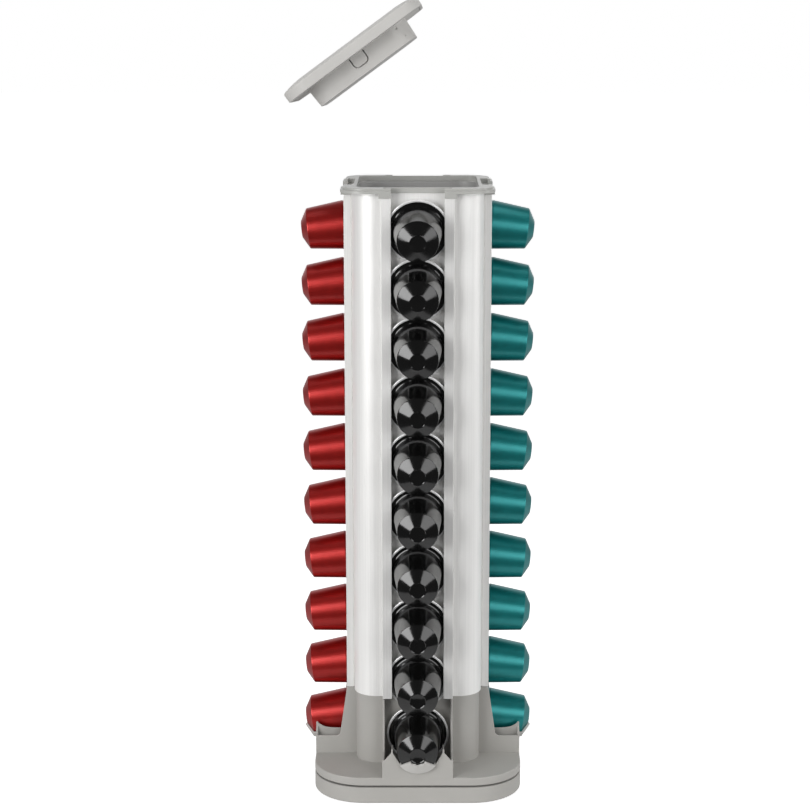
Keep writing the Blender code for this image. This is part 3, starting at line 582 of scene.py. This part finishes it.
def capsule_model():
    """A deep-drawn capsule standing on its rim: foil, rolled edge, body, nose and dimple."""
    half = RIM_THICKNESS / 2
    roll = (RIM_RADIUS - half, 0)
    foil = [(0, -half * FOIL_SINK), (BODY_ROOT_RADIUS, -half * FOIL_SINK)]
    foil.append((BODY_ROOT_RADIUS + FOIL_LIP[0], -half * FOIL_LIP[1]))
    dish = [(RIM_RADIUS + out, half * share) for out, share in RIM_DISH]
    neck = [(BODY_ROOT_RADIUS + out, half * share) for out, share in NECK]
    neck.append((BODY_ROOT_RADIUS + NECK_TOP[0], NECK_TOP[1]))
    sinks = (0, GROOVE_SINK, GROOVE_SINK, 0)
    body = [(capsule_radius(at) - sink, at) for at, sink in zip(GROOVE_AT, sinks)]
    body.append((capsule_radius(BODY_MIDDLE), BODY_MIDDLE))
    shoulder = [(SHOULDER_RADIUS + out, SHOULDER_AT + along) for out, along in SHOULDER_BEND]
    nose = [(NOSE_RADIUS + out, NOSE_AT + along) for out, along in NOSE_BEND]
    dimple = [(radius, NOSE_AT + along) for radius, along in NOSE_DIMPLE]
    rolled_edge = arc(roll, half, -pi / 2, pi / 2, ROLL_STEPS)
    profile = foil + rolled_edge + dish + neck + body + shoulder + nose + dimple
    model = spun("capsule", profile, CAPSULE_STEPS)
    coated(model, rim_aluminium, black_lacquer)
    for face in model.data.polygons:
        out = Vector(face.center[:2]).length
        bare = out > RIM_RADIUS - BARE_EDGE or face.center[2] < 0
        face.material_index = 0 if bare else 1
    return smoothed(model, CAPSULE_CREASE)


def capsule_columns():
    """Ten capsules a side, noses down and out. The back stays empty."""
    model = capsule_model()
    columns = (
        ("front", 0, black_lacquer, "black_foil"),
        ("right", 1, teal_lacquer, "teal_foil"),
        ("left", 3, red_lacquer, "red_foil"),
    )
    for label, side, lacquer, slot in columns:
        outward = side * pi / 2 - pi / 2
        for i in range(CAPSULES_PER_COLUMN):
            reach = RIM_PLACE + (0 if i else LOWEST_SLIDE_OUT)
            height = LOWEST_RIM_HEIGHT + i * CAPSULE_PITCH
            piece = duplicate(model, f"{label}_capsule_{i + 1:02d}")
            place = Matrix.Translation((reach * cos(outward), reach * sin(outward), height))
            place @= Matrix.Rotation(outward, 4, "Z")
            place @= Matrix.Rotation(pi / 2 + CAPSULE_TILT, 4, "Y")
            turned_to(piece, place)
            piece.data.materials[1] = lacquer
            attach(piece, "tower")
            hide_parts(f"capsule_{label}_{i + 1:02d}")
    bpy.data.objects.remove(model)


# Rails, tube and collar


def corner_rails():
    """One extrusion: a quarter-round column between two hooked flanges, on four corners."""
    centre = (CORNER_CENTRE, CORNER_CENTRE)
    outer = CORNER_CENTRE + COLUMN_RADIUS
    inner = CORNER_CENTRE + COLUMN_RADIUS - RAIL_WALL
    outline = [
        (FLANGE_INNER, FLANGE_TIP),
        (FLANGE_PLANE, FLANGE_TIP),
        (FLANGE_PLANE, LEG_OUTER),
        (outer + GROOVE_WIDTH, LEG_OUTER),
        (outer + GROOVE_WIDTH, LEG_OUTER - GROOVE_DEPTH),
        (outer, LEG_OUTER - GROOVE_DEPTH),
        *arc(centre, COLUMN_RADIUS, 0, pi / 2, COLUMN_STEPS),
        (LEG_OUTER - GROOVE_DEPTH, outer),
        (LEG_OUTER - GROOVE_DEPTH, outer + GROOVE_WIDTH),
        (LEG_OUTER, outer + GROOVE_WIDTH),
        (LEG_OUTER, FLANGE_PLANE),
        (FLANGE_TIP, FLANGE_PLANE),
        (FLANGE_TIP, FLANGE_INNER),
        (LEG_INNER, FLANGE_INNER),
        (LEG_INNER, inner),
        *arc(centre, COLUMN_RADIUS - RAIL_WALL, pi / 2, 0, COLUMN_STEPS),
        (inner, LEG_INNER),
        (FLANGE_INNER, LEG_INNER),
    ]
    rail = plate("rail", outline, lambda x, y: (x, y, RAIL_BOTTOM), (0, 0, RAIL_TOP - RAIL_BOTTOM))
    edges_softened(rail, RAIL_EDGE)
    for side, piece in zip(SIDES, on_sides(rail, SIDES, "aluminium_{}_{}")):
        shown(piece, "tower", "anodised_aluminium", [f"corner_rail_{side + 1}"], satin_aluminium)
    bpy.data.objects.remove(rail)


def storage_tube():
    """The open square tube in the middle, rougher inside than out and painted darker inside as
    painted shade.
    """
    low = BOX_TOP + GAP
    corner = TUBE_HALF - CORNER_CENTRE
    tube = rounded_block("storage_tube", TUBE_HALF, corner, low, RAIL_TOP)
    with editing(tube):
        pick("faces", lambda f: abs(f.normal.z) > FACING)
        bpy.ops.mesh.delete(type="FACE")
    apply_modifier(tube, "SOLIDIFY", thickness=TUBE_WALL, offset=-1)
    edges_softened(tube, RAIL_EDGE)
    shown(
        tube, "tower", "anodised_aluminium", ["compartment_tube"],
        satin_aluminium, painted_shade_aluminium,
    )
    # Inward faces take the darker inside aluminium, which is painted shade
    for face in tube.data.polygons:
        inward = face.normal.xy.dot(face.center.xy) < 0
        face.material_index = 1 if inward else 0


def collar_frame():
    """A stepped frame over the rails, with a hook over each flange."""
    collar = rounded_block(
        "collar_frame", COLLAR_LOWER_HALF, COLLAR_CORNER, COLLAR_LOW, COLLAR_STEP
    )
    soften_level(collar, COLLAR_STEP, COLLAR_STEP_EDGE)
    tier = rounded_block(
        "collar_tier", COLLAR_UPPER_HALF, COLLAR_CORNER - COLLAR_LOWER_HALF + COLLAR_UPPER_HALF,
        COLLAR_STEP - OVERRUN, COLLAR_TOP,
    )
    soften_level(tier, COLLAR_TOP, COLLAR_TOP_EDGE)
    outer = LEG_OUTER + GAP + COLLAR_HOOK_WALL
    spans = (
        (FLANGE_TIP, FLANGE_PLANE + GAP),
        (LEG_OUTER + GAP, CORNER_CENTRE + COLUMN_RADIUS + GAP),
    )
    hooks = []
    for turn in (-1, 1):
        for near, face in spans:
            low_x, high_x = sorted((turn * near, turn * outer))
            hook = block(
                "hook", (low_x, -COLLAR_LOWER_HALF, COLLAR_HOOK_LOW),
                (high_x, -face, COLLAR_LOW + OVERRUN),
            )
            edges_softened(hook, COLLAR_HOOK_EDGE)
            hooks += [hook, *on_sides(hook, OTHER_SIDES)]
    opening = rounded_block(
        "opening", COLLAR_OPENING_HALF, COLLAR_OPENING_CORNER, COLLAR_LOW - OVERRUN,
        COLLAR_TOP + OVERRUN,
    )
    slot = block(
        "slot", (-LEG_INNER, -FLANGE_INNER, COLLAR_LOW - OVERRUN),
        (LEG_INNER, -COLLAR_OPENING_HALF - COLLAR_BAR, COLLAR_TOP + OVERRUN),
    )
    mouth = block(
        "mouth", (-FLANGE_TIP, -COLLAR_LOWER_HALF - OVERRUN, COLLAR_HOOK_LOW - OVERRUN),
        (FLANGE_TIP, OVERRUN - FLANGE_INNER, COLLAR_TOP + OVERRUN),
    )
    cuts = [opening, slot, mouth, *on_sides(slot, OTHER_SIDES), *on_sides(mouth, OTHER_SIDES)]
    joined(collar, [tier, *hooks], "UNION")
    joined(collar, cuts, "DIFFERENCE")
    shown(collar, "tower", "collar_plastic", ["top_collar"], collar_grey)


# Base moulding and foot


def lip_spout():
    """The spout under the lowest nose, swept about the capsule's axis, with a wavy tip. It
    is coated before it is joined, because the join keeps each face's own finish."""
    rim = RIM_PLACE + LOWEST_SLIDE_OUT
    start = (FOOT_HALF - LIP_ROOT - RIM_PLACE) / cos(CAPSULE_TILT)
    radius = capsule_radius(start) + LIP_CLEARANCE
    path = [
        (radius, start),
        (SHOULDER_RADIUS + LIP_CLEARANCE, SHOULDER_AT),
        (NOSE_RADIUS + LIP_CLEARANCE, NOSE_AT),
    ]
    spout = traced("lip_spout", path, lambda r, along: (r, 0, along))
    with editing(spout):
        bpy.ops.mesh.select_all(action="SELECT")
        bpy.ops.mesh.spin(
            steps=2 * LIP_STEPS, angle=2 * LIP_HALF_ANGLE, center=(0, 0, 0), axis=(0, 0, -1)
        )
        for i in range(2 * LIP_STEPS + 1):
            turn = LIP_HALF_ANGLE * i / LIP_STEPS
            wave = LIP_SCALLOP * (1 - cos(LIP_SCALLOPS * pi * i / LIP_STEPS)) / 2
            tip = Vector((cos(turn), sin(turn), 0)) * (NOSE_RADIUS + LIP_CLEARANCE)
            tip.z = NOSE_AT
            pick("verts", lambda v: (v.co - tip).length < MERGE)
            lean = Vector((cos(turn), sin(turn), 0)) * (SHOULDER_RADIUS - NOSE_RADIUS)
            shift = (lean - Vector((0, 0, NOSE_AT - SHOULDER_AT))).normalized() * wave
            bpy.ops.transform.translate(value=shift)
        bpy.ops.mesh.select_all(action="SELECT")
        bpy.ops.mesh.normals_make_consistent(inside=False)
    apply_modifier(spout, "SOLIDIFY", thickness=LIP_WALL, offset=1)
    # The spout's paler colour is a painted highlight on its curve
    coated(spout, warm_grey, lip_painted_highlight_grey)
    for face in spout.data.polygons:
        face.material_index = 1
    place = Matrix.Translation((0, -rim, LOWEST_RIM_HEIGHT))
    place @= Matrix.Rotation(-pi / 2, 4, "Z") @ Matrix.Rotation(pi / 2 + CAPSULE_TILT, 4, "Y")
    place @= Matrix.Rotation(-LIP_HALF_ANGLE, 4, "Z")
    return turned_to(spout, place)


def chute_pieces():
    """One chute: two side walls with their window, end wall, fences, spout and floor."""
    seat = RAIL_BOTTOM - GAP
    knee = (CHUTE_CUT_NEAR + CHUTE_CUT_ROUND, CHUTE_CUT_HEIGHT + CHUTE_CUT_ROUND)
    slope = atan2(seat - knee[1], FLANGE_PLANE - CHUTE_CUT_NEAR)
    root = TUBE_HALF - OVERRUN
    low = DECK_TOP - OVERRUN
    wall = [
        (root, low),
        (FOOT_HALF - END_WALL / 2, low),
        (FOOT_HALF - END_WALL / 2, CHUTE_CUT_HEIGHT),
        *arc(knee, CHUTE_CUT_ROUND, -pi / 2, slope - 3 * pi / 2, SMALL_CORNER_STEPS),
        (FLANGE_PLANE, seat),
        (root, seat),
    ]
    length = FOOT_HALF - END_WALL / 2 - FENCE_NEAR
    rise = []
    for i in range(FENCE_STEPS + 1):
        share = i / FENCE_STEPS
        height = FENCE_TOP + (FENCE_PEAK - FENCE_TOP) * share**FENCE_CURVE
        rise.append((FENCE_NEAR + length * share, height))
    fence = [(FENCE_NEAR, low), (FENCE_NEAR + length, low), *reversed(rise)]
    pieces = []
    plates = (
        (wall, LEG_INNER, LEG_OUTER), (wall, -LEG_OUTER, -LEG_INNER),
        (fence, FENCE_INNER, FENCE_OUTER), (fence, -FENCE_OUTER, -FENCE_INNER),
    )
    for outline, near, far in plates:
        piece = plate("chute_wall", outline, lambda a, z: (near, -a, z), (far - near, 0, 0))
        pieces.append(edges_softened(piece, MOULD_EDGE))
    pieces.append(chute_end_wall())
    pieces.append(lip_spout())
    lean = CAPSULE_TILT
    rim_bottom = LOWEST_RIM_HEIGHT - RIM_RADIUS * cos(lean) - RIM_THICKNESS / 2 * sin(lean)
    floor_low = (-LEG_INNER - OVERRUN, -FENCE_NEAR - END_WALL_PROUD, low)
    floor_high = (LEG_INNER + OVERRUN, OVERRUN - TUBE_HALF, rim_bottom - GAP)
    pieces.append(block("chute_floor", floor_low, floor_high))
    return pieces


def chute_end_wall():
    """The front wall of a chute: a round cut for the nose between two pointed fences."""
    along = (FOOT_HALF - END_WALL / 2 - RIM_PLACE) / cos(CAPSULE_TILT)
    centre = (0, LOWEST_RIM_HEIGHT - along * sin(CAPSULE_TILT))
    cut = capsule_radius(along) + LIP_CLEARANCE + LIP_WALL / 2
    side = LEG_OUTER + END_WALL_PROUD
    half = [
        (side, DECK_TOP - OVERRUN),
        (side, CHUTE_CUT_HEIGHT + END_WALL_PROUD),
        (LEG_INNER, CHUTE_CUT_HEIGHT + END_WALL_PROUD),
        (FENCE_OUTER, FENCE_SHOULDER),
        (FENCE_OUTER, FENCE_PEAK),
        (FENCE_INNER, FENCE_PEAK),
        (FENCE_INNER, FENCE_SHOULDER),
    ]
    bow = arc(
        centre, cut, LIP_HALF_ANGLE - pi / 2, -pi / 2 - LIP_HALF_ANGLE, NOSE_CUT_STEPS
    )
    outline = half + bow + [(-x, z) for x, z in reversed(half)]
    wall = plate("end_wall", outline, lambda x, z: (x, -FOOT_HALF, z), (0, END_WALL, 0))
    return edges_softened(wall, END_WALL_EDGE)


def corner_posts():
    """Rounded posts under the rails, whose tops are the rails' seats."""
    centre = (CORNER_CENTRE, CORNER_CENTRE)
    inner = BOX_INNER_HALF - CORNER_CENTRE + OVERRUN
    far = CORNER_CENTRE + POST_COLUMN_RADIUS
    near = CORNER_CENTRE + inner
    outline = [
        (far, LEG_INNER),
        *arc(centre, POST_COLUMN_RADIUS, 0, pi / 2, COLUMN_STEPS),
        (LEG_INNER, far),
        (LEG_INNER, near),
        *arc(centre, inner, pi / 2, 0, COLUMN_INSIDE_STEPS),
        (near, LEG_INNER),
    ]
    low = DECK_TOP - OVERRUN
    post = plate("post", outline, lambda x, y: (x, y, low), (0, 0, RAIL_BOTTOM - GAP - low))
    return [post, *on_sides(post, OTHER_SIDES)]


def base_piece():
    """Deck, square box, corner posts and four chutes, joined into one moulding."""
    deck = rounded_block(
        "base_body", FOOT_HALF, FOOT_CORNER, DECK_BOTTOM, DECK_TOP, SLAB_CORNER_STEPS
    )
    # Second slot: the spout's paler colour, a painted highlight
    coated(deck, warm_grey, lip_painted_highlight_grey)
    soften_level(deck, DECK_TOP, DECK_EDGE)
    soften_level(deck, DECK_BOTTOM, MOULD_EDGE, 2)
    corner = TUBE_HALF - CORNER_CENTRE
    walls = rounded_block("box", TUBE_HALF, corner, DECK_TOP - OVERRUN, BOX_TOP)
    spigot_half = TUBE_HALF - TUBE_WALL - GAP
    spigot = rounded_block(
        "spigot", spigot_half, spigot_half - CORNER_CENTRE, BOX_TOP - OVERRUN, SPIGOT_TOP
    )
    soften_level(spigot, SPIGOT_TOP, MOULD_EDGE, 2)
    hollow = rounded_block(
        "hollow", BOX_INNER_HALF, BOX_INNER_HALF - CORNER_CENTRE, DECK_TOP,
        SPIGOT_TOP + OVERRUN,
    )
    underside = rounded_block(
        "underside", FOOT_HALF - FOOT_WALL, FOOT_CORNER - FOOT_WALL, DECK_BOTTOM - OVERRUN,
        DECK_HOLLOW,
    )
    added = [walls, spigot, *corner_posts()]
    for piece in chute_pieces():
        added += [piece, *on_sides(piece, OTHER_SIDES)]
    joined(deck, added, "UNION")
    bore = spun("bore", cylinder(POST_BORE, DECK_BOTTOM, DECK_TOP + OVERRUN), PEG_STEPS)
    joined(deck, [hollow, underside, bore], "DIFFERENCE")
    joined(deck, [race_seat()], "UNION")
    return deck


def race_seat():
    """The stepped ring under the deck that the upper race sits in."""
    near, step, far = RACE_SEAT
    root = DECK_HOLLOW + OVERRUN
    ring = [
        (near, root), (far, root), (far, SEAT_FACE), (step, SEAT_FACE), (step, SEAT_LIP),
        (near, SEAT_LIP), (near, root),
    ]
    return spun("race_seat", ring, RING_STEPS)


def foot_piece():
    """The tray that stands still under the turning base."""
    foot = rounded_block(
        "foot_body", FOOT_HALF, FOOT_CORNER, FOOT_RISE, FOOT_TOP, SLAB_CORNER_STEPS
    )
    soften_level(foot, FOOT_RISE, FOOT_EDGE, 4)
    soften_level(foot, FOOT_TOP, MOULD_EDGE, 2)
    inside = FOOT_HALF - FOOT_WALL
    floor_top = FOOT_RISE + FOOT_WALL
    hollow = rounded_block(
        "foot_hollow", inside, FOOT_CORNER - FOOT_WALL, floor_top, FOOT_TOP + OVERRUN,
        SLAB_CORNER_STEPS,
    )
    joined(foot, [hollow], "DIFFERENCE")
    post = spun("post", cylinder(POST_RADIUS, floor_top - OVERRUN, DECK_TOP), PEG_STEPS)
    pad = spun("pad", cylinder(FOOT_PAD_RADIUS, 0, floor_top - OVERRUN / 2), RING_STEPS)
    near, far, rise = LOCATOR
    root = floor_top - OVERRUN
    ring = [(near, rise), (far, rise), (far, root), (near, root), (near, rise)]
    joined(foot, [post, pad, spun("locator", ring, RING_STEPS)], "UNION")
    screw_hole = cylinder(SCREW_BORE, SCREW_BOTTOM, DECK_TOP + OVERRUN)
    cuts = [spun("screw_bore", screw_hole, SCREW_STEPS)]
    for x in (-PAD_PLACE, PAD_PLACE):
        for y in (-PAD_PLACE, PAD_PLACE):
            pocket = spun("pocket", cylinder(PAD_POCKET, -OVERRUN, PAD_POCKET_TOP), PEG_STEPS)
            cuts.append(turned_to(pocket, Matrix.Translation((x, y, 0))))
    joined(foot, cuts, "DIFFERENCE")
    return foot


# Lid


def lid_place():
    """The lifted pose of the lid, turned about its lifting axis."""
    pivot = Matrix.Translation(LID_PIVOT)
    seat = Matrix.Translation((0, 0, LID_SEAT))
    return pivot @ Matrix.Rotation(LID_LIFT, 4, Vector(LID_AXIS)) @ pivot.inverted() @ seat


def lid_cover_piece():
    """A shallow square cap: a straight band under a softly crowned top."""
    cover = rounded_block("lid_cap", LID_HALF, LID_CORNER, 0, LID_BAND, LID_CORNER_STEPS)
    with editing(cover):
        for inset, rise in LID_CROWN_STEPS:
            pick("faces", lambda f: f.normal.z > FACING and f.calc_area() > LID_HALF**2)
            bpy.ops.mesh.inset(thickness=inset)
            bpy.ops.transform.translate(value=(0, 0, rise))
    soften_level(cover, LID_BAND, LID_EDGE, 4)
    soften_level(cover, 0, MOULD_EDGE, 2)
    crown = sum(rise for inset, rise in LID_CROWN_STEPS)
    hollow = rounded_block(
        "cap_hollow", LID_HALF - LID_WALL, LID_CORNER - LID_WALL, -OVERRUN,
        LID_BAND + crown - 2 * LID_WALL, LID_CORNER_STEPS,
    )
    joined(cover, [hollow], "DIFFERENCE")
    turned_to(cover, lid_place())
    shown(cover, "lid", "pale_grey_plastic", ["lid_cover"], lid_grey)


def tongue_slot(face):
    """The U-shaped slot that frees a spring tongue in the front or back of the plug."""
    top = -GAP
    low = TONGUE_CORNER - TONGUE_HEIGHT
    reach = TONGUE_WIDTH / 2 - TONGUE_CORNER
    paths = []
    for corner in (TONGUE_CORNER, TONGUE_CORNER - TONGUE_SLOT):
        path = [(-reach - corner, top)]
        path += arc((-reach, low), corner, pi, 3 * pi / 2, SMALL_CORNER_STEPS)
        path += arc((reach, low), corner, -pi / 2, 0, SMALL_CORNER_STEPS)
        path.append((reach + corner, top))
        paths.append(path)
    near = face * (PLUG_HALF + OVERRUN)
    far = face * (PLUG_HALF - PLUG_DRAFT - TONGUE_SLOT_DEPTH)
    outline = paths[0] + paths[1][::-1]
    return plate("tongue_slot", outline, lambda x, z: (x, near, z), (0, far - near, 0))


def lid_plug_piece():
    """The drafted tray under the cap, with a spring tongue in front and back."""
    plug = rounded_block("lid_tray", PLUG_HALF, PLUG_CORNER, -PLUG_DEPTH, 0)
    with editing(plug):
        pick("faces", lambda f: f.normal.z < -FACING)
        taper = (PLUG_HALF - PLUG_DRAFT) / PLUG_HALF
        bpy.ops.transform.resize(value=(taper, taper, 1))
    soften_level(plug, -PLUG_DEPTH, PLUG_EDGE, 3)
    flange_half = LID_HALF - LID_WALL - GAP
    flange = rounded_block("flange", flange_half, LID_CORNER - LID_WALL - GAP, 0, PLUG_FLANGE)
    cuts = [tongue_slot(face) for face in (-1, 1)]
    for place in DIMPLES:
        dimple = spun("dimple", cylinder(DIMPLE_RADIUS, 0, DIMPLE_DEPTH), DIMPLE_STEPS)
        inward = Matrix.Translation(place) @ Matrix.Rotation(pi / 2, 4, "X")
        cuts.append(turned_to(dimple, inward))
    joined(plug, [flange], "UNION")
    hollow = rounded_block(
        "tray_hollow", PLUG_HALF - PLUG_WALL, PLUG_CORNER - PLUG_WALL, PLUG_WALL - PLUG_DEPTH,
        PLUG_FLANGE + OVERRUN,
    )
    with editing(hollow):
        pick("faces", lambda f: f.normal.z < -FACING)
        bpy.ops.transform.resize(value=(taper, taper, 1))
    joined(plug, [hollow, *cuts], "DIFFERENCE")
    turned_to(plug, lid_place())
    shown(plug, "lid", "pale_grey_plastic", ["lid_plug"], lid_grey)


# Stage


ROOM_LIGHT = 0.34
ROOM_GLOSS = 0.07
GLOSS_RAMP = (0.45, 0.97)
FLOOR_SIZE = 8
FLOOR_FRONT = -0.14
FLOOR_SHARE = 0.735
FLOOR_GLOSS_SHARE = 0.05
FRONT_AIM = (0, 0, 0.20)


def shadowed_white(name, share, gloss_share):
    """A diffuse white that the eye sees brighter than it is lit, and gloss a little."""
    material, shader = finish_of(name, (0.80, 0.80, 0.80), 0.9, specular=0.1)
    link = material.node_tree.links.new
    path = node(material, "ShaderNodeLightPath")
    gloss = node(material, "ShaderNodeMath", operation="MULTIPLY")
    gloss.inputs[1].default_value = gloss_share
    eye = node(material, "ShaderNodeMath", operation="MULTIPLY_ADD")
    eye.inputs[1].default_value = share
    shader.inputs["Emission Color"].default_value = (1, 1, 1, 1)
    link(path.outputs["Is Glossy Ray"], gloss.inputs[0])
    link(path.outputs["Is Camera Ray"], eye.inputs[0])
    link(gloss.outputs[0], eye.inputs[2])
    link(eye.outputs[0], shader.inputs["Emission Strength"])
    return material


def floor():
    """A plain white floor that ends a little in front of the dispenser."""
    bpy.ops.object.select_all(action="DESELECT")
    bpy.ops.mesh.primitive_plane_add(
        size=FLOOR_SIZE, location=(0, FLOOR_FRONT + FLOOR_SIZE / 2, 0)
    )
    bpy.ops.object.transform_apply(location=True, rotation=False, scale=False)
    ground = bpy.context.object
    ground.name = "floor"
    coated(ground, shadowed_white("floor_white", FLOOR_SHARE, FLOOR_GLOSS_SHARE))


def world_light():
    """A white backdrop all round to the eye. Gloss sees it behind the dispenser, and a
    dim room in front."""
    world = bpy.data.worlds.new("studio")
    bpy.context.scene.world = world
    world.use_nodes = True
    tree = world.node_tree
    link = tree.links.new
    background = tree.nodes["Background"]
    background.inputs["Color"].default_value = (1, 1, 1, 1)
    path = tree.nodes.new("ShaderNodeLightPath")
    where = tree.nodes.new("ShaderNodeTexCoord")
    split = tree.nodes.new("ShaderNodeSeparateXYZ")
    depth = tree.nodes.new("ShaderNodeMapRange")
    depth.interpolation_type = "SMOOTHSTEP"
    depth.inputs["From Min"].default_value = GLOSS_RAMP[0]
    depth.inputs["From Max"].default_value = GLOSS_RAMP[1]
    depth.inputs["To Min"].default_value = ROOM_GLOSS
    depth.inputs["To Max"].default_value = 1.0
    gloss = tree.nodes.new("ShaderNodeMix")
    gloss.inputs["A"].default_value = ROOM_LIGHT
    eye = tree.nodes.new("ShaderNodeMix")
    eye.inputs["B"].default_value = 1.0
    link(where.outputs["Generated"], split.inputs["Vector"])
    link(split.outputs["Y"], depth.inputs["Value"])
    link(path.outputs["Is Glossy Ray"], gloss.inputs["Factor"])
    link(depth.outputs["Result"], gloss.inputs["B"])
    link(path.outputs["Is Camera Ray"], eye.inputs["Factor"])
    link(gloss.outputs["Result"], eye.inputs["A"])
    link(eye.outputs["Result"], background.inputs["Strength"])


def soft_box(name, place, aim, width, height, power):
    """A rectangular lamp that faces a point."""
    data = bpy.data.lights.new(name, "AREA")
    data.shape = "RECTANGLE"
    data.size = width
    data.size_y = height
    data.energy = power
    lamp = bpy.data.objects.new(name, data)
    lamp.location = place
    lamp.rotation_euler = (Vector(aim) - Vector(place)).to_track_quat("-Z", "Y").to_euler()
    bpy.context.scene.collection.objects.link(lamp)


def camera():
    """The photograph's view, as fitted to the rims of the capsules."""
    data = bpy.data.cameras.new("camera")
    data.sensor_width = 36
    data.lens = 90.69
    data.shift_x = -0.0157
    data.clip_end = 50
    eye = bpy.data.objects.new("camera", data)
    eye.location = (0, -1.1934, 0.4754)
    eye.rotation_euler = (radians(78.29), 0, 0)
    bpy.context.scene.collection.objects.link(eye)
    bpy.context.scene.camera = eye


capsule_columns()
corner_rails()
storage_tube()
collar_frame()
shown(base_piece(), "tower", "warm_grey_plastic", ["base_moulding"])
shown(foot_piece(), "foot", "warm_grey_plastic", ["foot_tray"], warm_grey)
lid_cover_piece()
lid_plug_piece()

coated(nodes["compartment_floor"], floor_grey)
coated(nodes["ball_cage"], cage_nylon)
for name in ("lower_race", "upper_race", "pivot_screw", "pivot_washer"):
    coated(nodes[name], bearing_steel)
for name, obj in nodes.items():
    if name.startswith("bearing_ball"):
        coated(obj, bearing_steel)
    if name.startswith("rubber_foot"):
        coated(obj, pad_rubber)

floor()
world_light()
camera()
soft_box("left_box", (-0.76, -0.86, 0.45), FRONT_AIM, width=0.62, height=0.62, power=8.1)
soft_box("right_box", (0.70, -0.92, 0.48), FRONT_AIM, width=0.75, height=0.62, power=4.0)
soft_box("side_box", (1.15, -0.05, 0.45), FRONT_AIM, width=0.35, height=0.60, power=2.8)
soft_box("top_box", (0, -0.1, 1.3), (0, 0, 0.1), width=0.8, height=0.6, power=2.4)

scene = bpy.context.scene
scene.view_settings.view_transform = "Standard"
